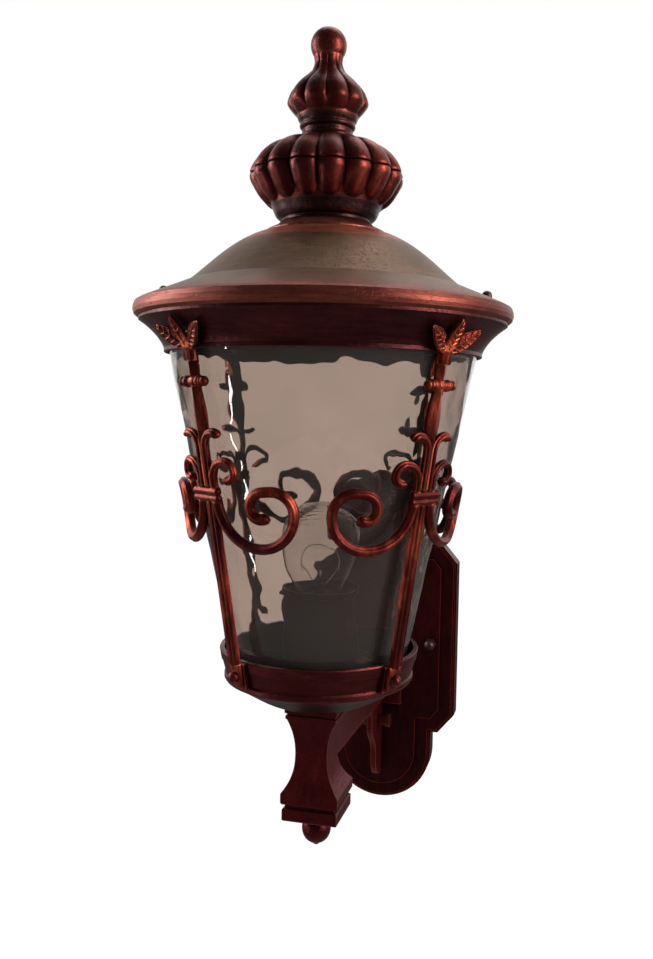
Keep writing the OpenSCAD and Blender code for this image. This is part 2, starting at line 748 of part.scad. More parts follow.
module upper_ring() {
    color("#5e1c1a") difference() {
        union() {
            on_axis() lathe(concat(
                [[ring_in_r, ring_z], [ring_out_r - 0.5, ring_z], [ring_out_r, ring_z + 0.5]],
                ring_cove(0),
                [[flange_r, roof_z - ring_flange_h + 1], [flange_r, roof_z],
                 [flange_r - 1.5 - 2 * ring_wall, roof_z]],
                flip(ring_cove(ring_wall * 1.2)),
                [[ring_in_r, ring_z + ring_foot_h]]));
            intersection() {
                at_roof_studs(ring_z + ring_foot_h) cylinder(r = boss_r, h = ring_h - ring_foot_h);
                on_axis() lathe(concat(
                    [[ring_in_r, ring_z]], ring_cove(1), [[flange_r - 3, roof_z], [ring_in_r, roof_z]]));
            }
        }
        at_roof_studs(roof_z - stud_in_ring) cylinder(r = stud_r, h = stud_in_ring + 1);
        for (k = [-135 : 90 : 135]) {
            on_cage(k) translate([0, 0, head_screw_z]) rotate([90, 0, 0])
                cylinder(r = lug_screw_r + fit, h = ring_out_r + 10);
        }
    }
}

// Straps with their scrolls, curls and leaves
pad_half = 6;
pad_low = 7;
bar_from = 8;
bar_flat = 3.2;
spear_edge = 2.2;
scroll_out = 3;
collar_bar_r = 2.8;
low_collar_out = 4.4;
top_collar_r = 4;
head_half = 5;
head_h = 11;
head_t = 4.5;
head_drop = 8;
head_rise = 3.2;
ridge_share = 0.4;

// Steps of the big scroll, the small curl and the hooked tip, from the double collar outwards
big_scroll = [[34, 90], [24.5, 90], [14.5, 90], [0, 5], [11, 90], [7.5, 90], [10, 35]];
small_curl = [[0, 7], [12, -90], [7.5, -90], [5.5, -130]];
hooked_tip = [[0, 27], [9.5, -90], [5, -75]];

module ridged_bar(half, edge, crest, from, to) {
    translate([0, 0, from]) linear_extrude(to - from) polygon([
        [-half, 0], [half, 0], [half, -edge], [crest, -strap_t], [-crest, -strap_t], [-half, -edge]]);
}

spear_low_v = low_collar_v + 24;
function stem_half() = [
    [bar_half, low_collar_v], [3.4, spear_low_v], [3.6, spear_low_v + 8],
    [spear_half * 0.72, spear_low_v + 16], [spear_half * 0.94, spear_low_v + 23],
    [spear_half, spear_low_v + 30], [spear_half * 0.88, spear_low_v + 38],
    [4, top_collar_v - 6], [3.6, top_collar_v],
    [4.6, top_collar_v + 8], [4.8, head_v - 4], [4.4, head_v - 1]];

module collar_bar(v, half, r, out) {
    tip = 1.4;
    translate([-half + tip, -out, v]) rotate([0, 90, 0]) {
        cylinder(r = r, h = 2 * (half - tip));
        translate([0, 0, 2 * (half - tip)]) cylinder(r1 = r, r2 = r - tip, h = tip);
        translate([0, 0, -tip]) cylinder(r1 = r - tip, r2 = r, h = tip);
    }
}

module leaf(l) {
    big_r = (l * l / 4 + leaf_half * leaf_half) / (2 * leaf_half);
    translate([0, 0, l / 2]) rotate([90, 0, 0]) linear_extrude(leaf_t) intersection() {
        translate([big_r - leaf_half, 0]) circle(r = big_r);
        translate([leaf_half - big_r, 0]) circle(r = big_r);
    }
    translate([0, -leaf_t, 0]) cylinder(r = 0.9, h = l * 0.86);
}

// The block that is screwed to the ring: its inner face leans out with the ring's cove
module head_block() {
    translate([-head_half, 0, 0]) rotate([90, 0, 90]) linear_extrude(2 * head_half) polygon([
        [-head_out, head_v - head_drop], [-head_out, head_v + 1],
        [-head_out - head_rise * 0.4, head_v + head_h * 0.55], [-head_out - head_rise, head_v + head_h],
        [-head_out - head_t - head_rise * 0.8, head_v + head_h],
        [-head_out - head_t, head_v + 2], [-head_out - head_t, head_v - head_drop]]);
}

leaf_splay = 54;
side_lean = 16;
mid_lean = 26;
module strap(k) {
    color("#96392a") difference() {
        on_strap(k) {
            translate([-pad_half, -pad_t, -pad_low]) cube([2 * pad_half, pad_t, pad_low + bar_from + 2]);
            ridged_bar(bar_half, bar_flat, bar_half * ridge_share, bar_from, low_collar_v);
            intersection() {
                ridged_bar(spear_half + 1, spear_edge, 0.6, low_collar_v - 1, head_v - 1);
                translate([0, 1, 0]) rotate([90, 0, 0]) linear_extrude(strap_t + 2)
                    polygon(mirrored(stem_half()));
            }
            for (s = [-1, 1]) {
                collar_bar(
                    low_collar_v + s * (collar_bar_r - 0.4), low_collar_half, collar_bar_r, low_collar_out);
            }
            collar_bar(top_collar_v, top_collar_half, top_collar_r, scroll_out);
            for (s = [0, 1]) {
                mirror([s, 0, 0]) {
                    bent_bar(big_scroll, [8, low_collar_v - 3], -90, 5, scroll_r, scroll_r, scroll_out);
                    bent_bar(small_curl, [7, low_collar_v + 4], 90, 4, curl_r, curl_r, scroll_out);
                    bent_bar(hooked_tip, [3.2, low_collar_v + 6], 90, 4.5, curl_r, curl_r, scroll_out + 0.5);
                    translate([1, -head_out - 1, head_v + 1]) rotate([side_lean, leaf_splay, 0]) leaf(leaf_l);
                }
            }
            head_block();
            translate([0, -head_out - 2, head_v + 2]) rotate([mid_lean, 0, 0]) leaf(mid_leaf_l);
        }
        on_strap(k) inwards(strap_t + 6, lug_screw_r + fit, strap_t + 8);
        on_cage(k) translate([0, -ring_in_r, head_screw_z]) rotate([90, 0, 0])
            cylinder(r = lug_screw_r + fit, h = 8);
    }
}

module strap_front_left() {
    strap(-45);
}

module strap_front_right() {
    strap(45);
}

module strap_back_right() {
    strap(135);
}

module strap_back_left() {
    strap(-135);
}

ball_head_r = 4.2;
module strap_foot_screws() {
    color("#b4552e") on_each_strap() {
        inwards(pad_t, lug_screw_r, lug_screw_l);
        translate([0, -pad_t, 0]) rotate([90, 0, 0]) {
            cylinder(r = ball_head_r, h = 1);
            translate([0, 0, 1]) intersection() {
                sphere(r = ball_head_r);
                cylinder(r = ball_head_r + 1, h = ball_head_r + 1);
            }
        }
    }
}

module strap_head_screws() {
    color("#8c8c88") for (k = [-135 : 90 : 135]) {
        on_cage(k) translate([0, -ring_in_r + 0.5, head_screw_z]) rotate([90, 0, 0]) {
            cylinder(r = lug_screw_r, h = 7);
            translate([0, 0, -2]) cylinder(r = lug_screw_r + 1, h = 2);
        }
    }
}

// Roof
rod_hole = rod_r + fit;
rim_w = 6;
slope_r = rim_r - 4.5;
nut_seat_z = slope_z + slope_h * (slope_r - roof_stud_at) / (slope_r - dome_r) + 0.3;
roof_nut_r = 4.6;
roof_nut_h = 2;

function dome(d) = bezier([
    [dome_r - d, dome_z], [dome_r - 13 - d, dome_z + 9.5],
    [crown_seat_r + 24 - d, crown_z - 5.5 - d * 0.4], [crown_seat_r - d * 0.3, crown_z - d]], 18);

module roof() {
    color("#6b5a4e") difference() {
        union() {
            on_axis() lathe(concat(
                [[rim_r - rim_w, roof_z], [rim_r - 3, roof_z], [rim_r - 0.8, roof_z + 1.8],
                 [rim_r, roof_z + 4.5], [rim_r, slope_z - 5], [rim_r - 1.2, slope_z - 1.8], [slope_r, slope_z]],
                dome(0),
                [[0, crown_z], [0, crown_z - roof_wall]],
                flip(dome(roof_wall)),
                [[slope_r - roof_wall, slope_z - roof_wall], [rim_r - rim_w, slope_z - roof_wall - 1]]));
            at_roof_studs(roof_z) cylinder(r = boss_r - 0.5, h = nut_seat_z - roof_z);
        }
        at_roof_studs(nut_seat_z) cylinder(r = roof_nut_r + 2 * fit, h = slope_h);
        at_roof_studs(roof_z - 1) cylinder(r = stud_r + fit, h = rim_h + slope_h + 2);
        on_axis() translate([0, 0, crown_z - 2 * roof_wall]) cylinder(r = rod_hole, h = 4 * roof_wall);
    }
}

module roof_studs() {
    low_z = roof_z - stud_in_ring;
    color("#8c8c88") at_roof_studs(low_z) cylinder(r = stud_r - fit / 2, h = nut_seat_z + roof_nut_h - low_z);
}

module roof_cap_nuts() {
    color("#3a2c28") difference() {
        at_roof_studs(nut_seat_z) cap_nut(roof_nut_r, roof_nut_h);
        at_roof_studs(nut_seat_z - 1) cylinder(r = stud_r + fit, h = roof_nut_h + 1 + fit);
    }
}

// Finial: its heights are shares of the crown's and the bulb's heights
crown_turn = 6.5;
parting = 0.576;
bulb_z = crown_z + crown_h;
ball_z = bulb_z + bulb_h + ball_r * 0.63;
rod_top_z = bulb_z + bulb_h * 0.24;

function up(share) = crown_z + crown_h * share;
function over(share) = bulb_z + bulb_h * share;
function crown_lobe(share, height, cut = 1) = [crown_r * share, up(height), crown_valley * cut];
function bulb_lobe(share, height, cut = 1) = [bulb_r * share, over(height), bulb_valley * cut];

module rod_bore(top_z) {
    on_axis() translate([0, 0, crown_z - 1]) cylinder(r = rod_hole, h = top_z - crown_z + 1);
}

module crown_lower() {
    lip_r = crown_r * 0.66;
    neck_r = crown_r * 0.57;
    color("#3c2620") difference() {
        on_cage(crown_turn) union() {
            lathe(concat(
                [[0, crown_z], [crown_seat_r, crown_z], [crown_seat_r - 0.5, up(0.02)]],
                bezier([[crown_seat_r - 2, up(0.03)], [neck_r + 6, up(0.05)],
                        [neck_r + 3.5, up(0.073)], [neck_r + 2, up(0.106)]], 6),
                [[neck_r, up(0.114)], [neck_r, up(0.138)], [lip_r - 1.4, up(0.151)], [lip_r, up(0.172)],
                 [crown_r * 0.684, up(0.212)], [crown_r * 0.705, up(0.252)], [crown_r * 0.708, up(0.265)],
                 [0, up(0.265)]]));
            lobed([
                crown_lobe(0.677, 0.225, 0.07), crown_lobe(0.761, 0.272, 0.5), crown_lobe(0.83, 0.318, 0.8),
                crown_lobe(0.895, 0.371), crown_lobe(0.953, 0.444), crown_lobe(0.993, 0.51),
                crown_lobe(1, 0.556), crown_lobe(0.993, 0.572), crown_lobe(0.975, parting)], crown_lobes);
        }
        rod_bore(up(parting) + 1);
    }
}

module crown_upper() {
    collar_r = bulb_r * 0.7;
    color("#3c2620") difference() {
        on_cage(crown_turn) union() {
            lobed([
                crown_lobe(0.975, parting), crown_lobe(0.996, 0.585), crown_lobe(0.982, 0.629),
                crown_lobe(0.939, 0.689), crown_lobe(0.868, 0.755, 0.95), crown_lobe(0.772, 0.817, 0.85),
                crown_lobe(0.649, 0.868, 0.65), crown_lobe(0.509, 0.9, 0.4), crown_lobe(0.404, 0.918, 0.1)],
                crown_lobes);
            lathe([
                [0, up(0.8)], [collar_r - 3, up(0.8)], [collar_r - 2, up(0.894)], [collar_r - 0.4, up(0.917)],
                [collar_r, up(0.935)], [collar_r - 0.6, up(0.951)], [collar_r - 2, up(0.962)],
                [collar_r - 2.4, up(0.987)], [collar_r - 1.8, bulb_z], [0, bulb_z]]);
        }
        rod_bore(bulb_z + 1);
    }
}

module finial_top() {
    ring_r = bulb_r * 0.69;
    color("#3c2620") difference() {
        on_cage(0) union() {
            lathe([
                [0, bulb_z], [ring_r - 2.4, bulb_z], [ring_r - 2.4, over(0.022)], [ring_r - 0.4, over(0.04)],
                [ring_r, over(0.065)], [ring_r - 0.6, over(0.092)], [ring_r - 0.2, over(0.112)],
                [bulb_r * 0.72, over(0.14)], [bulb_r * 0.753, over(0.185)], [bulb_r * 0.773, over(0.225)],
                [0, over(0.225)]]);
            lobed([
                bulb_lobe(0.74, 0.185, 0.13), bulb_lobe(0.897, 0.275, 0.53), bulb_lobe(0.987, 0.345, 0.93),
                bulb_lobe(1, 0.385), bulb_lobe(0.973, 0.445), bulb_lobe(0.917, 0.52),
                bulb_lobe(0.827, 0.59, 0.9), bulb_lobe(0.707, 0.655, 0.77), bulb_lobe(0.56, 0.725, 0.6),
                bulb_lobe(0.44, 0.79, 0.43),
                bulb_lobe(0.373, 0.86, 0.3), bulb_lobe(0.343, 0.925, 0.2), bulb_lobe(0.36, 1, 0.13),
                bulb_lobe(0.373, 1.03, 0.07)], bulb_lobes);
            translate([0, 0, ball_z]) sphere(r = ball_r);
        }
        on_axis() translate([0, 0, bulb_z - 1]) cylinder(r = rod_hole, h = rod_top_z - bulb_z + 1 + fit);
    }
}

rod_nut_r = 8;
rod_nut_h = 6;
module finial_washer() {
    color("#a8a8a2") on_axis() difference() {
        translate([0, 0, crown_z - roof_wall - washer_t]) cylinder(r = rod_nut_r + 3, h = washer_t);
        translate([0, 0, crown_z - roof_wall - washer_t - 1]) cylinder(r = rod_hole, h = washer_t + 2);
    }
}

module finial_nut() {
    z = crown_z - roof_wall - washer_t - rod_nut_h;
    color("#a8a8a2") on_axis() difference() {
        translate([0, 0, z]) cylinder(r = rod_nut_r, h = rod_nut_h, $fn = 6);
        translate([0, 0, z - 1]) cylinder(r = rod_hole, h = rod_nut_h + 2);
    }
}

// The rod's low end stays just under its nut, above the room kept free for the glass
rod_out = 1.5;

module finial_rod() {
    z = crown_z - roof_wall - washer_t - rod_nut_h - rod_out;
    color("#a8a8a2") on_axis() translate([0, 0, z]) cylinder(r = rod_r, h = rod_top_z - z);
}

wall_plate();
wall_bracket();
plate_studs();
plate_cap_nuts();
arm();
arm_screws();
heel_bolt();
heel_nut();
drop_finial();
cup();
cup_tube();
cup_washer();
cup_nut();
glass_seal();
glass_shade();
lamp_cover();
lampholder();
lamp_shell();
lamp_contact();
lamp_cap();
lamp_glass();
lamp_stem();
upper_ring();
strap_front_left();
strap_front_right();
strap_back_right();
strap_back_left();
strap_foot_screws();
strap_head_screws();
roof();
roof_studs();
roof_cap_nuts();
crown_lower();
crown_upper();
finial_top();
finial_rod();
finial_washer();
finial_nut();
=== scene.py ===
import json
import math
import bpy
from mathutils import Matrix, Vector, noise


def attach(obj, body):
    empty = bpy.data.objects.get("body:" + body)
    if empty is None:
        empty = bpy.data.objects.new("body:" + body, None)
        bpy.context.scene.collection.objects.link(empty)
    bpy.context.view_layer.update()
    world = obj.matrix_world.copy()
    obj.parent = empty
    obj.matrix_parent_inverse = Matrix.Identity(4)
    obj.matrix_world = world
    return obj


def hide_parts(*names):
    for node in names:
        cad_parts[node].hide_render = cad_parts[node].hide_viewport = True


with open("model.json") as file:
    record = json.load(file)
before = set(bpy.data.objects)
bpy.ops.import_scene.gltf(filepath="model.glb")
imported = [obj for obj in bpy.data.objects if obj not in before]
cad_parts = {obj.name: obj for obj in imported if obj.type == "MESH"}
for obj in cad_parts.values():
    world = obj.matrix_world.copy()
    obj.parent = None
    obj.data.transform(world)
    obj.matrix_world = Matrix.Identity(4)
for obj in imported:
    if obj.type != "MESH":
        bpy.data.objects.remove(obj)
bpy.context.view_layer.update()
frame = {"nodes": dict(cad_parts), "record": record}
nodes = frame["nodes"]

# Shapes are written in millimetres, in the CAD's frame, and scaled to metres when their mesh is made.
# The wall is the plane y = 0, and the lantern's axis stands upright at y = AXIS_Y.
MM = 0.001
AXIS_Y = -245.0
# The four straps and the lobes are turned about the axis by this many degrees.
CAGE_TURN = 13.0


# Helpers that make meshes. A profile or a row of points becomes one closed body in a Shape.

class Shape:
    """Vertices and faces of one piece, gathered part by part."""

    def __init__(self):
        self.verts = []
        self.faces = []

    def add(self, verts, faces, move):
        base = len(self.verts)
        self.verts += [tuple(move(v)) for v in verts]
        self.faces += [tuple(base + i for i in f) for f in faces]


def new_piece(name, shape, node, finish, sharp):
    """The piece that stands for a CAD node. Edges of more than sharp degrees stay crisp."""
    mesh = bpy.data.meshes.new(name)
    mesh.from_pydata([(v[0] * MM, v[1] * MM, v[2] * MM) for v in shape.verts], [], shape.faces)
    mesh.validate()
    mesh.update()
    mesh.polygons.foreach_set("use_smooth", [True] * len(mesh.polygons))
    mesh.set_sharp_from_angle(angle=math.radians(sharp))
    obj = bpy.data.objects.new(name, mesh)
    bpy.context.scene.collection.objects.link(obj)
    mesh.materials.append(look[finish])
    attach(obj, "root")
    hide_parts(node)


def grid_faces(rows, cols):
    """Faces between rows of points, where each row runs once round the body."""
    faces = []
    for i in range(rows - 1):
        for k in range(cols):
            n = (k + 1) % cols
            faces.append((i * cols + k, i * cols + n, (i + 1) * cols + n, (i + 1) * cols + k))
    return faces


def capped(rows, cols, flipped=False):
    """Those faces with both ends closed, turned over where the rows run the other way round."""
    faces = grid_faces(rows, cols)
    faces.append(tuple(range(cols - 1, -1, -1)))
    faces.append(tuple((rows - 1) * cols + k for k in range(cols)))
    return [tuple(reversed(f)) for f in faces] if flipped else faces


def catmull(points, per):
    """Smooth line through the points, each a tuple of numbers, with per steps from one to the next."""
    out = []
    n = len(points)
    for i in range(n - 1):
        p0, p1, p2, p3 = points[max(i - 1, 0)], points[i], points[i + 1], points[min(i + 2, n - 1)]
        for s in range(per):
            t = s / per
            out.append(tuple(
                0.5 * (2 * b + (c - a) * t + (2 * a - 5 * b + 4 * c - d) * t * t
                       + (3 * b - a - 3 * c + d) * t ** 3)
                for a, b, c, d in zip(p0, p1, p2, p3)))
    out.append(tuple(points[-1]))
    return out


def bell(x, centre, width):
    """A smooth bump of height 1, for grooves, reeds, ribs and rims."""
    return math.exp(-((x - centre) / width) ** 2)


def on_axis(v):
    """A point given from the lantern's axis, in the CAD's frame."""
    return (v[0], v[1] + AXIS_Y, v[2])


def lathe(shape, profile, steps=128):
    """A body turned about the axis from points (radius, height)."""
    angles = [2 * math.pi * k / steps for k in range(steps)]
    verts = [(r * math.cos(a), r * math.sin(a), z) for r, z in profile for a in angles]
    shape.add(verts, grid_faces(len(profile), steps), on_axis)


# Materials. All of them are built from nodes in the object's own coordinates.

class Nodes:
    """A material with a Principled shader and short names for the nodes that feed it."""

    def __init__(self, name):
        self.material = bpy.data.materials.new(name)
        self.material.use_nodes = True
        self.tree = self.material.node_tree
        self.tree.nodes.clear()
        self.out = self.make("OutputMaterial")
        self.shader = self.make("BsdfPrincipled")
        self.link(self.shader.outputs[0], self.out.inputs["Surface"])
        self.coords = self.make("TexCoord").outputs["Object"]

    def make(self, kind, **values):
        node = self.tree.nodes.new("ShaderNode" + kind)
        for key, value in values.items():
            setattr(node, key, value)
        return node

    def link(self, a, b):
        self.tree.links.new(a, b)

    def set(self, socket, value):
        if isinstance(value, bpy.types.NodeSocket):
            self.link(value, socket)
        else:
            socket.default_value = value

    def math(self, op, a, b, clamp=False):
        node = self.make("Math", operation=op, use_clamp=clamp)
        self.set(node.inputs[0], a)
        self.set(node.inputs[1], b)
        return node.outputs[0]

    def stretch(self, x, y, z):
        node = self.make("Mapping")
        self.link(self.coords, node.inputs["Vector"])
        node.inputs["Scale"].default_value = (x, y, z)
        return node.outputs[0]

    def noise(self, scale, detail, rough, vector=None):
        node = self.make("TexNoise")
        self.link(vector if vector is not None else self.coords, node.inputs["Vector"])
        node.inputs["Scale"].default_value = scale
        node.inputs["Detail"].default_value = detail
        node.inputs["Roughness"].default_value = rough
        return node.outputs["Fac"]

    def ramp(self, value, low, high):
        node = self.make("MapRange", clamp=True)
        self.link(value, node.inputs["Value"])
        node.inputs["From Min"].default_value = low
        node.inputs["From Max"].default_value = high
        return node.outputs["Result"]

    def mix(self, factor, a, b):
        """Two colours mixed. The Mix node has its colours at inputs 6 and 7 and at output 2."""
        node = self.make("Mix", data_type="RGBA")
        self.set(node.inputs["Factor"], factor)
        for place, colour in ((6, a), (7, b)):
            linked = isinstance(colour, bpy.types.NodeSocket)
            self.set(node.inputs[place], colour if linked else (*colour, 1.0))
        return node.outputs[2]

    def occlusion(self, distance, inside=False, local=True):
        node = self.make("AmbientOcclusion", inside=inside, only_local=local, samples=8)
        node.inputs["Distance"].default_value = distance
        return node.outputs["AO"]

    def bump(self, height, strength, distance):
        node = self.make("Bump")
        self.link(height, node.inputs["Height"])
        node.inputs["Strength"].default_value = strength
        node.inputs["Distance"].default_value = distance
        return node.outputs[0]

    def finish(self, **values):
        """Sets the shader's inputs, with an underscore for each space in their names."""
        for key, value in values.items():
            self.set(self.shader.inputs[key.replace("_", " ")], value)
        return self.material


def srgb(rgb):
    """The linear colour of three values from 0 to 255."""
    def one(c):
        c = c / 255
        return c / 12.92 if c <= 0.04045 else ((c + 0.055) / 1.055) ** 2.4
    return tuple(one(c) for c in rgb)


def shaded(colour, share):
    return tuple(c * share for c in colour)


EDGE_REACH = 0.0013     # how far a rubbed edge reaches into the face, in metres
HOLLOW_REACH = 0.012    # how far off other faces still make a place a hollow, in metres
METAL_SHARE = 0.85
PATCH_SHARE, STREAK_SHARE = 0.6, 0.55
COAT_FROM, COAT_TO = 0.45, 0.75
BAND_FROM, BAND_TO = 0.4, 0.8
EDGE_FROM, EDGE_TO = 0.2, 0.7
# Where the rubbing is stronger than this, copper shows on open faces. Wear lowers both by its share of the shift.
WORN_FROM, WORN_TO, WORN_SHIFT = 0.78, 1.05, 0.35
PIT_FROM, PIT_TO, PIT_SHARE = 0.56, 0.7, 0.55
PIT_DARK, HOLLOW_DARK = 0.3, 0.2


def patina(name, dark, mid, copper, wear=0.5, brushed=(1, 1, 1), edges=0.8, rough=0.34, bands=(),
           hollows=(0.2, 0.85)):
    """Copper lacquer rubbed over a dark coat: dark in the hollows, as dark patina and painted shade, copper on
    edges and high places.

    The coat varies from dark to mid. Each band is (z from, z to, dark, mid) in metres and colours, and above its
    heights the coat takes its colours. The brushing is stretched along the axes with the smaller numbers."""
    dark, mid, copper = srgb(dark), srgb(mid), srgb(copper)
    n = Nodes(name)
    patches = n.noise(scale=16, detail=5, rough=0.6)
    streaks = n.noise(scale=130, detail=6, rough=0.7, vector=n.stretch(*brushed))
    grain = n.noise(scale=900, detail=3, rough=0.6)
    edge = n.math("SUBTRACT", 1.0, n.occlusion(EDGE_REACH, inside=True), clamp=True)
    # Hollows, also those between separate parts, darken almost to black: partly dark patina, partly painted
    # shade.
    hollow = n.ramp(n.occlusion(HOLLOW_REACH, local=False), *hollows)
    rubbed = n.math("ADD", n.math("MULTIPLY", patches, PATCH_SHARE), n.math("MULTIPLY", streaks, STREAK_SHARE))
    coat = n.mix(n.ramp(rubbed, COAT_FROM, COAT_TO), dark, mid)
    if bands:
        height = n.make("SeparateXYZ")
        n.link(n.coords, height.inputs[0])
    for low, high, band_dark, band_mid in bands:
        band = n.mix(n.ramp(rubbed, BAND_FROM, BAND_TO), srgb(band_dark), srgb(band_mid))
        coat = n.mix(n.ramp(height.outputs["Z"], low, high), coat, band)
    rubbed_places = n.ramp(rubbed, WORN_FROM - WORN_SHIFT * wear, WORN_TO - WORN_SHIFT * wear)
    worn = n.math("ADD", n.math("MULTIPLY", n.ramp(edge, EDGE_FROM, EDGE_TO), edges),
                  n.math("MULTIPLY", rubbed_places, wear), clamp=True)
    colour = n.mix(worn, coat, copper)
    pits = n.math("MULTIPLY", n.ramp(n.noise(scale=520, detail=4, rough=0.65), PIT_FROM, PIT_TO), PIT_SHARE)
    colour = n.mix(pits, colour, shaded(dark, PIT_DARK))
    colour = n.mix(hollow, shaded(dark, HOLLOW_DARK), colour)
    roughness = n.math("ADD", n.math("MULTIPLY", streaks, 0.22), rough - 0.06)
    fine_relief = n.math("SUBTRACT", n.math("MULTIPLY", grain, 0.35), pits)
    relief = n.math("ADD", n.math("MULTIPLY", streaks, 0.5), fine_relief)
    return n.finish(Base_Color=colour, Metallic=METAL_SHARE, Roughness=roughness,
                    Normal=n.bump(relief, strength=0.4, distance=0.0005))


def plain_metal(name, rgb, rough=0.3):
    """Bright metal with fine turning marks."""
    colour = srgb(rgb)
    n = Nodes(name)
    streaks = n.noise(scale=300, detail=5, rough=0.6, vector=n.stretch(1, 1, 6))
    body = n.mix(n.ramp(streaks, 0.3, 0.75), shaded(colour, 0.75), colour)
    return n.finish(Base_Color=body, Metallic=1.0, Normal=n.bump(streaks, strength=0.15, distance=0.0003),
                    Roughness=n.math("ADD", n.math("MULTIPLY", streaks, 0.2), rough))


def glass(name, rgb, transmission, rough):
    """Clear glass with slight clouds in its tint."""
    colour = srgb(rgb)
    n = Nodes(name)
    cloud = n.noise(scale=28, detail=3, rough=0.5)
    body = n.mix(n.ramp(cloud, 0.3, 0.7), shaded(colour, 0.94), colour)
    return n.finish(Base_Color=body, Roughness=rough, Transmission_Weight=transmission, IOR=1.47)


def porcelain():
    n = Nodes("glazed_porcelain")
    mottle = n.noise(scale=120, detail=3, rough=0.5)
    body = n.mix(n.ramp(mottle, 0.3, 0.7), srgb((206, 200, 186)), srgb((226, 221, 208)))
    return n.finish(Base_Color=body, Roughness=0.22, Normal=n.bump(mottle, strength=0.05, distance=0.0003))


def rubber():
    n = Nodes("seal_rubber")
    grain = n.noise(scale=500, detail=3, rough=0.6)
    return n.finish(Base_Color=n.mix(grain, srgb((26, 25, 24)), srgb((44, 42, 40))), Roughness=0.75,
                    Normal=n.bump(grain, strength=0.2, distance=0.0003))


UPRIGHT = (1, 1, 0.3)
ROUND = (0.3, 0.3, 3)
look = {
    "strap_finish": patina("red_copper_straps", (66, 18, 16), (130, 42, 32), (232, 116, 82), 0.6, UPRIGHT),
    "cup_finish": patina(
        "dark_copper_cup", (30, 7, 9), (52, 15, 17), (216, 112, 88), 0.35, (0.4, 0.4, 2),
        bands=[(0.016, 0.022, (58, 14, 18), (96, 34, 34))]),
    "arm_finish": patina("dark_copper_arm", (76, 16, 20), (112, 32, 32), (222, 116, 92), 0.35, UPRIGHT),
    "plate_finish": patina("dark_copper_plate", (46, 8, 11), (78, 18, 20), (220, 84, 66), 0.22, UPRIGHT),
    # The ring's coat is darker than that of the other copper parts: partly its own tone, partly painted shade for
    # the cove under the roof.
    "ring_finish": patina("copper_ring_tone_and_cove_shade", (48, 12, 16), (86, 32, 32), (170, 86, 70), 0.35, ROUND),
    # The rim is copper, the dome is bronze, and its neck under the crown is painted light copper as a highlight.
    "roof_finish": patina(
        "brown_bronze_roof", (96, 44, 38), (144, 76, 60), (214, 142, 118), 0.35, (0.5, 0.5, 3), rough=0.38,
        bands=[(0.3035, 0.3085, (70, 50, 38), (130, 100, 74)),
               (0.3455, 0.3465, (112, 54, 42), (206, 122, 92))]),
    # From below: the foot lighter, with a painted highlight; the bowl under the lobes darker, with painted shade;
    # red lobes; the neck and the bulb's collar darker, with painted shade between crown and bulb; and red bulb.
    "crown_finish": patina(
        "dark_bronze_crown", (108, 52, 44), (190, 108, 88), (216, 104, 78), 0.5, (1, 1, 0.4), edges=0.1,
        rough=0.29, hollows=(0.3, 0.95),
        bands=[(0.361, 0.363, (36, 18, 20), (58, 32, 30)), (0.377, 0.379, (54, 18, 20), (120, 44, 36)),
               (0.4225, 0.4245, (38, 20, 20), (70, 38, 34)), (0.4415, 0.4445, (54, 18, 20), (124, 48, 38))]),
    "copper_fasteners": patina("copper_screws", (70, 24, 22), (112, 44, 36), (206, 106, 80), 0.5),
    "dark_fasteners": patina("dark_nuts", (60, 40, 38), (92, 64, 58), (150, 108, 94), 0.4),
    "cover_finish": patina("dark_cover", (46, 14, 16), (78, 30, 30), (120, 60, 54), 0.3),
    "plated_steel": plain_metal("plated_steel", (176, 176, 172)),
    "brass_parts": plain_metal("plain_brass", (196, 164, 96)),
    "lamp_cap_metal": plain_metal("lamp_cap", (198, 198, 194), 0.2),
    # The warm grey-beige tint and the small share of the glass that is not clear lay a veil over the shade:
    # partly the glass's own tint, partly painted reflection of the bright room.
    "shade_glass": glass("water_glass", (212, 197, 188), 0.975, 0.015),
    "lamp_bulb_glass": glass("bulb_glass", (246, 246, 244), 1.0, 0.0),
    "stem_glass": glass("stem_glass", (240, 240, 238), 0.9, 0.02),
    "holder_porcelain": porcelain(),
    "seal_rubber": rubber(),
}

slots = {row["node"]: row["material_slot"] for row in frame["record"]["subparts"]}
for name, obj in nodes.items():
    obj.data.materials.clear()
    obj.data.materials.append(look[slots[name]])


# Straps. A strap is drawn flat, with x across, v up its length and out away from the glass. The drawing is
# wrapped round the lantern's axis and leaned with the glass. Its foot is on the cup and its head on the ring.

CUP_R, LUG_T, CUP_TOP_Z, LUG_Z = 75.0, 3.4, 47.0, 37.0
GLASS_LOW_R, GLASS_TOP_R, GLASS_LOW_Z, GLASS_TOP_Z = 64.9, 114.9, 30.0, 268.5
GLASS_SLOPE = (GLASS_TOP_R - GLASS_LOW_R) / (GLASS_TOP_Z - GLASS_LOW_Z)
GLASS_WALL = 3.0
RING_Z, RING_OUT_R = 265.5, 117.9
STRAP_OFF_GLASS = 2.3
HEAD_OFF_RING = 0.3
STRAP_TOP_R = GLASS_TOP_R - GLASS_SLOPE * (GLASS_TOP_Z - RING_Z) + STRAP_OFF_GLASS
STRAP_SLOPE = (STRAP_TOP_R - CUP_R - LUG_T) / (RING_Z - CUP_TOP_Z)
TILT = math.atan(STRAP_SLOPE)
FOOT_R = CUP_R + LUG_T - STRAP_SLOPE * (CUP_TOP_Z - LUG_Z)
HEAD_V = (RING_Z - LUG_Z) / math.cos(TILT)
HEAD_OUT = (RING_OUT_R - FOOT_R - STRAP_SLOPE * (RING_Z - LUG_Z) + HEAD_OFF_RING) / math.cos(TILT)
FOOT_BLOCK = (-6, -3, -7), (6, 0, 10)
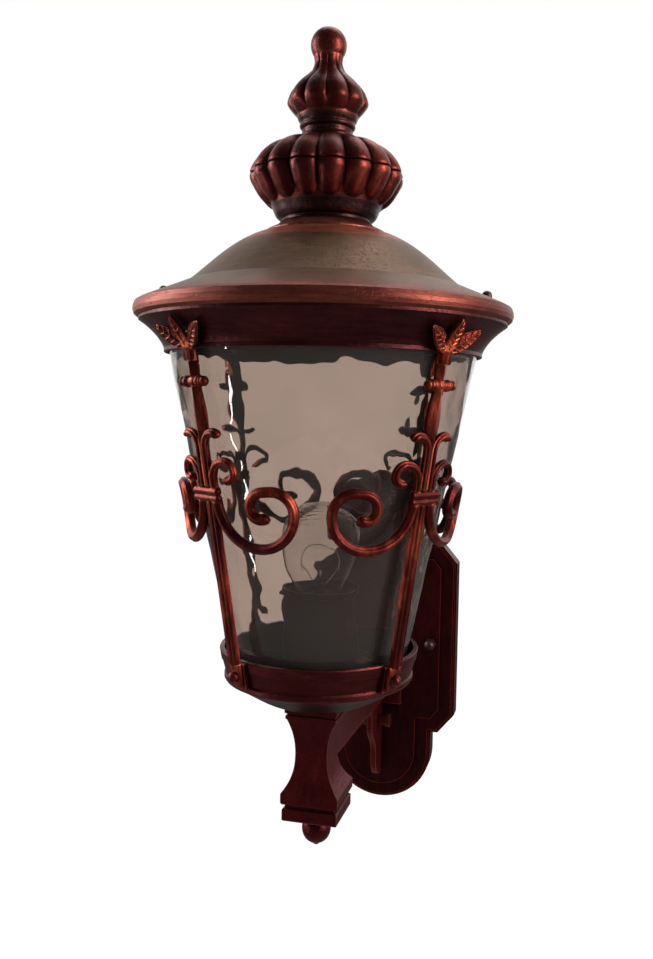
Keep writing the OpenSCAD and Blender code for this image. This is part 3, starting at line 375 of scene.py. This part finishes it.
# Collars: v, then half length, radius and height of their middle over the glass. The low one is a pair of bars.
LOW_COLLAR_V, LOW_COLLAR_STEP, LOW_COLLAR = 133.0, 2.4, (14, 2.8, 4.4)
TOP_COLLAR_V, TOP_COLLAR = 210.0, (14.5, 4.0, 3.0)
# Leaves on the head: length, half width, thickness and degrees of lean.
SIDE_LEAF = (29, 5.2, 2.6, 16)
MIDDLE_LEAF = (24, 5.0, 2.8, 26)

# Paths in the drawing: each step is an arc (radius, degrees of turn) or a straight run (0, length).
BIG_SCROLL = [(34, 90), (24.5, 90), (14.5, 90), (0, 5), (11, 90), (7.5, 90), (10, 35)]
SMALL_CURL = [(0, 7), (12, -90), (7.5, -90), (5.5, -130)]
HOOKED_TIP = [(0, 27), (9.5, -90), (5, -75)]
PATH_GAP = 1.1
# Bars on both sides of the low collar: path, start (x, v from the collar), heading in degrees, radius of the bar
# and points round it, height over the glass and swelling of the end.
SCROLLS = (
    (BIG_SCROLL, (8, -3), -90, (3.6, 28), 3.1, 1.12),
    (SMALL_CURL, (7, 4), 90, (2.9, 24), 3.0, 1.2),
    (HOOKED_TIP, (3.2, 6), 90, (2.8, 24), 3.5, 1.3),
)

# Rows of the lower bar: (v, half width, height at the edge, height in the middle, depth of its reeds).
LOW_BAR = ([(8, 4.4, 2.4, 4.4, 0.0), (10, 5, 3.0, 5.3, 0.5)]
           + [(v, 5, 3.2, 5.5, 0.85) for v in [*range(14, 134, 4), 134]])
# Rows of the upper bar: (v, half width). It widens to a spear below the top collar.
STEM = [(133, 4.6), (145, 3.9), (157, 3.4), (165, 3.6), (173, 4.7), (180, 6.1), (187, 6.5), (195, 5.7),
        (204, 4.0), (210, 3.6), (218, 4.6), (HEAD_V - 4, 4.8), (HEAD_V - 1, 4.4)]


def unit(degrees):
    a = math.radians(degrees)
    return Vector((math.cos(a), math.sin(a)))


def walk(steps, start, heading):
    """Points along a path of arcs and straight runs."""
    p, a, out = Vector(start), heading, []
    for radius, turn in steps:
        length = turn if radius == 0 else radius * abs(math.radians(turn))
        count = max(2, round(length / PATH_GAP))
        side = 90 if turn > 0 else -90
        centre = p + radius * unit(a + side)
        for i in range(count):
            t = i / count
            if radius == 0:
                out.append(p + turn * t * unit(a))
            else:
                out.append(centre + radius * unit(a + turn * t - side))
        if radius == 0:
            p = p + turn * unit(a)
        else:
            a += turn
            p = centre + radius * unit(a - side)
    out.append(p)
    return out


def wrapped(x, v, out):
    """A point of the drawing on the cone round the axis, and the direction that leads away from the glass."""
    r = FOOT_R + v * math.sin(TILT) + out
    a = x / r
    return Vector((r * math.sin(a), r * (1 - math.cos(a)) - out, v)), Vector((math.sin(a), -math.cos(a), 0))


def reeded(r, count):
    """Section of a scroll: three reeds on the outer side, as (across, outwards)."""
    points = []
    for i in range(count):
        a = 2 * math.pi * i / count
        degrees = abs(math.degrees(math.atan2(math.sin(a), math.cos(a))))
        dent = 0.62 * bell(degrees, 42, 12)
        rise = 0.25 * bell(degrees, 0, 30)
        points.append(((r - dent) * math.sin(a), (r - dent + rise) * math.cos(a)))
    return points


def sweep(shape, steps, start, heading, section, out, move, sign, grow):
    """A bar along a path, on the side of the strap that sign gives. Its rounded end swells by the share grow."""
    centres = [wrapped(sign * q.x, q.y, out) for q in walk(steps, start, heading)]
    last = len(centres) - 1
    total = sum((centres[i + 1][0] - centres[i][0]).length for i in range(last))
    half = max(abs(across) for across, _ in section)
    verts = []
    run = 0.0
    for i, (point, outward) in enumerate(centres):
        ahead = (centres[min(i + 1, last)][0] - centres[max(i - 1, 0)][0]).normalized()
        side = ahead.cross(outward).normalized()
        lift = side.cross(ahead)
        left = total - run
        size = 1 + (grow - 1) * max(0.0, 1 - left / (5 * half))
        if left < half:
            size *= math.sqrt(max(0.0, 1 - max(0.0, 1 - left / half) ** 2))
        size = max(size, 0.04)
        for a, b in section:
            verts.append(point + size * (a * side + b * lift))
        if i < last:
            run += (centres[i + 1][0] - point).length
    shape.add(verts, capped(len(centres), len(section)), move)


def low_bar(shape, move):
    """The bar below the low collar, with a rounded ridge between two reeds."""
    cols = 25
    verts = []
    for v, half, edge, middle, reed in LOW_BAR:
        for i in range(cols):
            t = -1 + 2 * i / (cols - 1)
            high = edge + (middle - edge) * max(0.0, 1 - abs(t)) ** (0.85 if reed == 0 else 0.55)
            groove = reed * bell(abs(t), 0.45, 0.12)
            edge_round = 0.9 * max(0.0, abs(t) - 0.8) / 0.2
            verts.append((half * t, -(high - groove - edge_round ** 2 * 0.9), v))
        verts += [(half, 0, v), (-half, 0, v)]
    shape.add(verts, capped(len(LOW_BAR), cols + 2, flipped=True), move)


def stem_bar(shape, move):
    """The upper bar: a spear with a sharp ridge and two flat facets, over a narrow bar."""
    rows = catmull(STEM, 4)
    across = (-1.0, -0.97, -0.9, -0.6, -0.3, -0.12, -0.05, 0.0, 0.05, 0.12, 0.3, 0.6, 0.9, 0.97, 1.0)
    facet, edge, rise, ridge = 0.9, 2.2, 3.3, 5.4
    verts = []
    for v, half in rows:
        for t in across:
            if abs(t) < facet:
                high = edge + rise * max(0.0, 1 - abs(t))
            else:
                high = edge + 0.33 - 0.6 * ((abs(t) - facet) / 0.1) ** 2
            verts.append((half * t, -min(high, ridge), v))
        verts += [(half, 0, v), (-half, 0, v)]
    shape.add(verts, capped(len(rows), len(across) + 2, flipped=True), move)


def spun(shape, profile, steps, v, out, move):
    """A bar across the strap, turned about its own length from points (x, radius)."""
    angles = [2 * math.pi * k / steps for k in range(steps)]
    verts = [(x, -out + q * math.sin(a), v + q * math.cos(a)) for x, q in profile for a in angles]
    shape.add(verts, capped(len(profile), steps), move)


def collar_bar(shape, v, half, r, out, move):
    """A plain collar bar with soft ends."""
    count = 40
    soft = r * 0.7
    profile = []
    for i in range(count + 1):
        x = -half + 2 * half * i / count
        end = half - abs(x)
        radius = r
        if end <= soft:
            radius = r * math.sqrt(max(0.0, 1 - (1 - end / soft) ** 2) * 0.85 + 0.15 * min(1, end))
        profile.append((x, max(radius, 0.05)))
    spun(shape, profile, 24, v, out, move)


def knobbed_bar(shape, v, half, r, out, move):
    """The top collar: a rounder knob beside the stem and a thinner rod out to each end."""
    count = 72
    rod, knob_r, knob_x, knob_half = r * 0.86, r * 1.05, 6.6, 3.4
    profile = []
    for i in range(count + 1):
        x = -half + 2 * half * i / count
        d = abs(x)
        knob = 0.0
        if abs(d - knob_x) < knob_half:
            knob = knob_r * math.sqrt(max(0.0, 1 - ((d - knob_x) / knob_half) ** 2))
        radius = max(rod, knob) - (0.8 * bell(d, 10.4, 0.6) + 0.6 * bell(d, 3.4, 0.6))
        end = half - d
        if end < rod * 0.8:
            radius = rod * math.sqrt(max(0.0, 1 - (1 - end / (rod * 0.8)) ** 2))
        profile.append((x, max(radius, 0.05)))
    spun(shape, profile, 28, v, out, move)


# The relief of a leaf, with heights in millimetres and places as shares of its half width.
RIM_AT, RIM_WIDTH, RIM_HIGH = 0.88, 0.1, 0.7
RIB_WIDTH, RIB_HIGH = 0.12, 0.95
VEINS, VEIN_FROM, VEIN_TO, VEIN_SLANT, VEIN_POWER, VEIN_HIGH = 6, 0.1, 0.85, 0.8, 6, 0.62
BLADE_MIDDLE, BLADE_DROP = 0.62, 0.3
BASE_HALF, TIP_HALF = 0.7, 0.05
TIP_HIGH, TIP_THINS = 0.35, 9      # the last ninth of the length thins to this share


def leaf(shape, length, half, thick, lean, splay, base, move):
    """A leaf with a raised rim, a midrib and slanting side veins, on a base point of the strap."""
    rows, cols = 84, 33
    turn = Matrix.Rotation(math.radians(splay), 3, "Y") @ Matrix.Rotation(math.radians(lean), 3, "X")
    verts = []
    for i in range(rows):
        s = i / (rows - 1)
        width = half * (math.sin(math.pi * min(1.0, s ** 0.9)) ** 0.75) + BASE_HALF * (1 - s) + TIP_HALF
        ring = []
        for k in range(cols):
            t = -1 + 2 * k / (cols - 1)
            side = abs(t)
            high = thick * (BLADE_MIDDLE - BLADE_DROP * side ** 3)
            rim = bell(side, RIM_AT, RIM_WIDTH)
            rib = bell(t, 0, RIB_WIDTH)
            vein = 0.0
            if VEIN_FROM < side < VEIN_TO:
                vein = max(0.0, math.cos(2 * math.pi * (s * VEINS - side * VEIN_SLANT))) ** VEIN_POWER
            high += (RIM_HIGH * rim + VEIN_HIGH * vein) * min(1.0, width / 2.5) + RIB_HIGH * rib
            high *= TIP_HIGH + (1 - TIP_HIGH) * min(1.0, (1 - s) * TIP_THINS)
            ring.append(Vector((width * t, -high - 0.25 * math.sin(math.pi * s), s * length)))
        ring += [Vector((width * 0.96, 0.3, s * length)), Vector((-width * 0.96, 0.3, s * length))]
        verts += [Vector(base) + turn @ p for p in ring]
    shape.add(verts, capped(rows, cols + 2, flipped=True), move)


def block(shape, low, high, move):
    """A block with rounded edges."""
    soft = 0.7
    (x0, y0, z0), (x1, y1, z1) = low, high
    levels = ((z0, soft), (z0 + soft * 0.3, soft * 0.3), (z0 + soft, 0), (z1 - soft, 0),
              (z1 - soft * 0.3, soft * 0.3), (z1, soft))
    corners = ((x1, y1, 0), (x0, y1, 90), (x0, y0, 180), (x1, y0, 270))
    bends = (0, 30, 60, 90)
    verts = []
    for z, cut in levels:
        for cx, cy, start in corners:
            mx, my = (-1 if cx == x1 else 1), (-1 if cy == y1 else 1)
            for a in bends:
                b = math.radians(start + a)
                verts.append((cx + mx * (soft + cut) + soft * math.cos(b),
                              cy + my * (soft + cut) + soft * math.sin(b), z))
    shape.add(verts, capped(len(levels), len(corners) * len(bends)), move)


def head_block(shape, move):
    """The block on the ring: its inner face leans out with the cove, its front has rounded sides."""
    inner = [(0, -8), (0, 1), (-1.3, 6), (-3.2, 11)]
    front = [(-7, 11), (-4.5, 2), (-4.5, -7), (-3.6, -8)]
    slices = ((-5, 1.1), (-4.6, 0.5), (-3.8, 0.0), (3.8, 0.0), (4.6, 0.5), (5, 1.1))
    verts = []
    for x, cut in slices:
        verts += [(x, -HEAD_OUT + y, HEAD_V + v) for y, v in inner]
        verts += [(x, -HEAD_OUT + y + cut, HEAD_V + v) for y, v in front]
    shape.add(verts, capped(len(slices), len(inner) + len(front), flipped=True), move)


def strap(name, place):
    """One strap at so many degrees round the cage, with its collars, scrolls, curls and three leaves."""
    turn = Matrix.Rotation(math.radians(CAGE_TURN + place), 3, "Z")
    tilt = Matrix.Rotation(TILT, 3, "X")
    foot = Vector((0, -FOOT_R, LUG_Z))

    def move(v):
        return on_axis(turn @ (foot + tilt @ Vector(v)))

    s = Shape()
    block(s, *FOOT_BLOCK, move)
    low_bar(s, move)
    stem_bar(s, move)
    for side in (-1, 1):
        collar_bar(s, LOW_COLLAR_V + side * LOW_COLLAR_STEP, *LOW_COLLAR, move)
    knobbed_bar(s, TOP_COLLAR_V, *TOP_COLLAR, move)
    for sign in (1, -1):
        for path, (x, v), heading, section, out, grow in SCROLLS:
            sweep(s, path, (x, LOW_COLLAR_V + v), heading, reeded(*section), out, move, sign, grow)
        leaf(s, *SIDE_LEAF, 54 * sign, (sign, -HEAD_OUT - 1, HEAD_V + 1), move)
    head_block(s, move)
    leaf(s, *MIDDLE_LEAF, 0, (0, -HEAD_OUT - 2, HEAD_V + 2), move)
    new_piece(name + "_cast", s, name, "strap_finish", sharp=40)


for name, place in (("strap_front_left", -45), ("strap_front_right", 45), ("strap_back_right", 135),
                    ("strap_back_left", -135)):
    strap(name, place)


# Crown and finial. Profiles are points (radius, height over the base). Rows of lobes are (radius over the lobes,
# height, depth of the valleys between them, share of its place that a lobe fills, which is 1 if left out).

CROWN_Z = 355.5
CROWN_LOBES = 16
CROWN_TURN = CAGE_TURN + 6.5 - 22.5
LOBE_POWER = 0.62       # lower is fuller
CROWN_BASE = [(0.05, 0), (44.9, 0), (45, 0.4)]
CROWN_FOOT = [(44.5, 1.5), (43, 2.3), (40.4, 3.6), (37.2, 5.2), (35.2, 6.9), (34.3, 8)]
CROWN_GROOVE = [(32.6, 8.5), (32.4, 9.5), (32.7, 10.5)]
CROWN_BOWL = [(36.2, 11.4), (37.6, 13), (38.6, 15), (39.6, 17.5), (40.9, 20.3), (42.2, 23)]
CROWN_BOWL_TOP = [(0.05, 23.4)]
LOWER_LOBES = [(41.4, 20.4, 0.2, 0.15), (44, 21.4, 2.4, 0.5), (47, 23.6, 4.4, 0.76), (50.4, 27.6, 5.6, 0.95),
               (54, 33.5, 6), (56.6, 38.5, 6), (57, 41.6, 6), (56.4, 43, 6), (55, 43.5, 6)]
UPPER_LOBES = [(55, 43.5, 6), (56.8, 44.4, 6), (56, 47.5, 6), (53.5, 52, 6), (49.4, 57, 6, 0.98),
               (43.4, 61.8, 5.6, 0.9), (36, 65.4, 4.6, 0.76), (27.8, 67.7, 2.8, 0.56), (21.4, 68.8, 0.7, 0.4)]
NECK_INSIDE = [(0.05, 60.4), (18, 60.4), (19, 67.5)]
NECK_RING = [(20.4, 68.9), (20.9, 70), (20.9, 71), (20.2, 72), (19, 72.6)]
NECK_TOP = [(18.7, 73.4), (18.8, 74.6), (19.1, 75.5), (0.05, 75.5)]

BULB_Z = 431.0
BULB_LOBES = 10
BULB_BASE = [(0.05, 0), (18.3, 0), (18.3, 1.2)]
BULB_COLLAR = [(19.7, 1.7), (20.5, 2.7), (20.7, 3.6), (20.3, 4.6), (20.1, 5), (20.5, 6), (21.6, 7.6),
               (22.6, 10), (23, 12)]
BULB_COLLAR_TOP = [(0.05, 12.1)]
BULB = [(22.2, 10, 0.4), (26.9, 14.9, 1.6), (29.6, 18.6, 2.8), (30, 20.8, 3), (29.2, 24, 3), (27.4, 28.1, 3),
        (24.6, 31.9, 2.7), (21.2, 35.4, 2.3), (16.8, 39.2, 1.8), (13.2, 42.7, 1.3), (11.2, 46.4, 0.9),
        (10.3, 50, 0.6), (10.8, 54, 0.4), (11.1, 55.6, 0.2)]
BALL_R, BALL_Z = 13.3, 62.36


def raised(rows, base):
    return [(radius, base + height, *rest) for radius, height, *rest in rows]


def lobed(shape, rows, lobes, turn):
    """A turned body with rounded lobes, whose ends are arches where they fill less of their place."""
    per_row, per_lobe = 6, 20
    full = [(height, radius, valley, fill[0] if fill else 1.0) for radius, height, valley, *fill in rows]
    smooth = catmull(full, per_row)
    m = lobes * per_lobe
    verts = []
    for z, r, valley, fill in smooth:
        for k in range(m):
            a = 2 * math.pi * k / m
            place = abs(((a * lobes / (2 * math.pi) + 0.5) % 1) - 0.5) * 2
            off = place / max(0.05, min(1.0, fill))
            high = math.cos(math.pi / 2 * off) ** LOBE_POWER if off < 1 else 0
            q = r - max(valley, 0) * (1 - high)
            b = a + math.radians(turn)
            verts.append((q * math.cos(b), q * math.sin(b), z))
    shape.add(verts, capped(len(smooth), m), on_axis)


def crown_lower():
    s = Shape()
    foot = catmull(raised(CROWN_FOOT, CROWN_Z), 4)
    bowl = catmull(raised(CROWN_BOWL, CROWN_Z), 4)
    lathe(s, raised(CROWN_BASE, CROWN_Z) + foot + raised(CROWN_GROOVE, CROWN_Z) + bowl
          + raised(CROWN_BOWL_TOP, CROWN_Z))
    lobed(s, raised(LOWER_LOBES, CROWN_Z), CROWN_LOBES, CROWN_TURN)
    new_piece("crown_lower_cast", s, "crown_lower", "crown_finish", sharp=45)


def crown_upper():
    s = Shape()
    lobed(s, raised(UPPER_LOBES, CROWN_Z), CROWN_LOBES, CROWN_TURN)
    ring = catmull(raised(NECK_RING, CROWN_Z), 4)
    lathe(s, raised(NECK_INSIDE, CROWN_Z) + ring + raised(NECK_TOP, CROWN_Z))
    new_piece("crown_upper_cast", s, "crown_upper", "crown_finish", sharp=45)


def finial_top():
    s = Shape()
    collar = catmull(raised(BULB_COLLAR, BULB_Z), 4)
    lathe(s, raised(BULB_BASE, BULB_Z) + collar + raised(BULB_COLLAR_TOP, BULB_Z))
    lobed(s, raised(BULB, BULB_Z), BULB_LOBES, CAGE_TURN)
    ball = []
    for degrees in (0.3, *range(5, 180, 5), 179.7):
        a = math.radians(degrees)
        ball.append((BALL_R * math.sin(a), BULB_Z + BALL_Z - BALL_R * math.cos(a)))
    lathe(s, ball, 64)
    new_piece("finial_top_cast", s, "finial_top", "crown_finish", sharp=45)


crown_lower()
crown_upper()
finial_top()


# Glass shade. The ripples are cut into its outer face, and softer ones into its inner face.

RIPPLE_SCALE = 0.042
RIPPLE_HEIGHT_SHARE = 0.75


def ripple(a, z, r):
    """Depth of the water ripples at an angle and height of the shade, in millimetres."""
    p = Vector((r * math.cos(a), r * math.sin(a), z * RIPPLE_HEIGHT_SHARE)) * RIPPLE_SCALE
    wide = noise.noise(p) * 0.7
    middle = noise.noise(p * 2.1 + Vector((7, 3, 1))) * 0.26
    fine = noise.noise(p * 4.2 + Vector((2, 9, 5))) * 0.08
    return wide + middle + fine


def shade():
    steps, rows = 360, 128
    inner_share, inner_turn, inner_rise = 0.5, 1.3, 50
    verts = []
    for outer in (False, True):
        for i in range(rows + 1):
            z = GLASS_LOW_Z + (GLASS_TOP_Z - GLASS_LOW_Z) * i / rows
            wall_r = GLASS_LOW_R + GLASS_SLOPE * (z - GLASS_LOW_Z) - (0 if outer else GLASS_WALL)
            fade = min(1.0, i / 2, (rows - i) / 2)
            for k in range(steps):
                a = 2 * math.pi * k / steps
                if outer:
                    cut = min(0.0, ripple(a, z, wall_r) - 0.45)
                else:
                    cut = max(0.0, inner_share * ripple(a + inner_turn, z + inner_rise, wall_r) + 0.3)
                r = wall_r + cut * fade
                verts.append((r * math.cos(a), r * math.sin(a), z))
    n = (rows + 1) * steps
    top = rows * steps
    inner_faces = [tuple(reversed(f)) for f in grid_faces(rows + 1, steps)]
    outer_faces = [tuple(n + i for i in f) for f in grid_faces(rows + 1, steps)]
    rims = []
    for k in range(steps):
        m = (k + 1) % steps
        rims.append((k, m, n + m, n + k))
        rims.append((top + m, top + k, n + top + k, n + top + m))
    s = Shape()
    s.add(verts, inner_faces + outer_faces + rims, on_axis)
    new_piece("glass_shade_rippled", s, "glass_shade", "shade_glass", sharp=60)


shade()


# Camera, as solved from the photograph, in metres and degrees.

CAMERA_PLACE = (0.1938, -0.9122, 0.2271)
CAMERA_TURN, CAMERA_PITCH, CAMERA_ROLL = 13.93, -3.46, 1.05


def add_camera():
    data = bpy.data.cameras.new("camera")
    data.lens = 34.485
    data.sensor_width = 36.0
    data.shift_x = -0.0334
    data.shift_y = -0.0160
    camera = bpy.data.objects.new("camera", data)
    bpy.context.scene.collection.objects.link(camera)
    turn, pitch, roll = (math.radians(a) for a in (CAMERA_TURN, CAMERA_PITCH, CAMERA_ROLL))
    ahead = Vector((-math.sin(turn) * math.cos(pitch), math.cos(turn) * math.cos(pitch), math.sin(pitch)))
    level = Vector((math.cos(turn), math.sin(turn), 0))
    over = level.cross(ahead)
    right = math.cos(roll) * level + math.sin(roll) * over
    up = -math.sin(roll) * level + math.cos(roll) * over
    x, y, z = CAMERA_PLACE
    camera.matrix_world = Matrix((
        (right.x, up.x, -ahead.x, x), (right.y, up.y, -ahead.y, y), (right.z, up.z, -ahead.z, z), (0, 0, 0, 1)))
    bpy.context.scene.camera = camera


add_camera()


# Lamps: name, place, point aimed at, width and height in metres, power in watts and colour.

LAMPS = (
    ("key_right", (1.35, -0.5, 0.55), (0, -0.245, 0.15), (0.5, 1.2), 23, (1.0, 0.92, 0.86)),
    ("side_left", (-1.35, -0.3, 0.6), (0, -0.245, 0.2), (0.5, 1.2), 19, (1.0, 0.97, 0.94)),
    ("glint", (-1.15, -0.95, -0.3), (0, -0.245, 0.15), (0.05, 0.4), 1.8, (1.0, 0.93, 0.86)),
    ("top_soft", (0.1, 0.3, 1.5), (0, -0.245, 0.3), (1.0, 0.6), 4, (1, 1, 1)),
)

for name, place, aim, size, power, colour in LAMPS:
    data = bpy.data.lights.new(name, "AREA")
    data.shape = "RECTANGLE"
    data.size, data.size_y = size
    data.energy = power
    data.color = colour
    obj = bpy.data.objects.new(name, data)
    bpy.context.scene.collection.objects.link(obj)
    obj.location = place
    obj.rotation_euler = (Vector(aim) - Vector(place)).to_track_quat("-Z", "Y").to_euler()
    obj.visible_camera = False
    obj.visible_transmission = False


# World and floor. Rays that come straight from the camera, or through the glass, see them white. Rays that have
# bounced off a surface see a plain dim room, which metal mirrors darker in front of the object than behind it.

SOFT_LIGHT = 0.16
ROOM_FRONT, ROOM_BACK = 0.02, 1.0
FIRST_BOUNCE = 0.5      # a ray's depth is below this until it first bounces
FLOOR_HALF, FLOOR_Z = 40.0, -2.0
FLOOR_GLOW, FLOOR_GLOW_SHARE = 1.25, 0.8


def studio():
    world = bpy.data.worlds.new("world")
    bpy.context.scene.world = world
    world.use_nodes = True
    tree = world.node_tree
    tree.nodes.clear()

    def make(kind, **values):
        node = tree.nodes.new("ShaderNode" + kind)
        for key, value in values.items():
            setattr(node, key, value)
        return node

    def background(colour, strength):
        node = make("Background")
        node.inputs["Color"].default_value = (*colour, 1)
        if isinstance(strength, float):
            node.inputs["Strength"].default_value = strength
        else:
            tree.links.new(strength, node.inputs["Strength"])
        return node.outputs[0]

    def mixed(factor, a, b):
        node = make("MixShader")
        for socket, link in zip(node.inputs, (factor, a, b)):
            tree.links.new(link, socket)
        return node.outputs[0]

    def none_yet(depth):
        node = make("Math", operation="LESS_THAN")
        tree.links.new(depth, node.inputs[0])
        node.inputs[1].default_value = FIRST_BOUNCE
        return node.outputs[0]

    path = make("LightPath")
    bounces = make("Math", operation="ADD")
    tree.links.new(path.outputs["Diffuse Depth"], bounces.inputs[0])
    tree.links.new(path.outputs["Glossy Depth"], bounces.inputs[1])
    way = make("SeparateXYZ")
    tree.links.new(make("TexCoord").outputs["Generated"], way.inputs[0])
    behind = make("MapRange", clamp=True)
    tree.links.new(way.outputs["Y"], behind.inputs["Value"])
    for key, value in (("From Min", 0.0), ("From Max", 0.9), ("To Min", ROOM_FRONT), ("To Max", ROOM_BACK)):
        behind.inputs[key].default_value = value
    soft = background((1.0, 0.98, 0.96), SOFT_LIGHT)
    mirrored = background((1, 0.99, 0.98), behind.outputs[0])
    room = mixed(none_yet(path.outputs["Diffuse Depth"]), soft, mirrored)
    white = background((1, 1, 1), 1.0)
    out = make("OutputWorld")
    tree.links.new(mixed(none_yet(bounces.outputs[0]), room, white), out.inputs["Surface"])


def floor():
    n = Nodes("pale_floor")
    speck = n.noise(scale=60, detail=4, rough=0.5)
    n.finish(Base_Color=n.mix(speck, (0.5, 0.5, 0.49), (0.56, 0.56, 0.55)), Roughness=0.9)
    glow = n.make("Emission")
    glow.inputs["Strength"].default_value = FLOOR_GLOW
    rays = n.make("LightPath")
    bounces = n.math("ADD", rays.outputs["Diffuse Depth"], rays.outputs["Glossy Depth"])
    share = n.math("MULTIPLY", n.math("LESS_THAN", bounces, FIRST_BOUNCE), FLOOR_GLOW_SHARE)
    blend = n.make("MixShader")
    n.link(share, blend.inputs[0])
    n.link(n.shader.outputs[0], blend.inputs[1])
    n.link(glow.outputs[0], blend.inputs[2])
    n.link(blend.outputs[0], n.out.inputs["Surface"])
    mesh = bpy.data.meshes.new("floor")
    s, z = FLOOR_HALF, FLOOR_Z
    mesh.from_pydata([(-s, -s, z), (s, -s, z), (s, s, z), (-s, s, z)], [], [(0, 1, 2, 3)])
    obj = bpy.data.objects.new("floor", mesh)
    bpy.context.scene.collection.objects.link(obj)
    mesh.materials.append(n.material)


studio()
floor()
bpy.context.scene.view_settings.view_transform = "Standard"
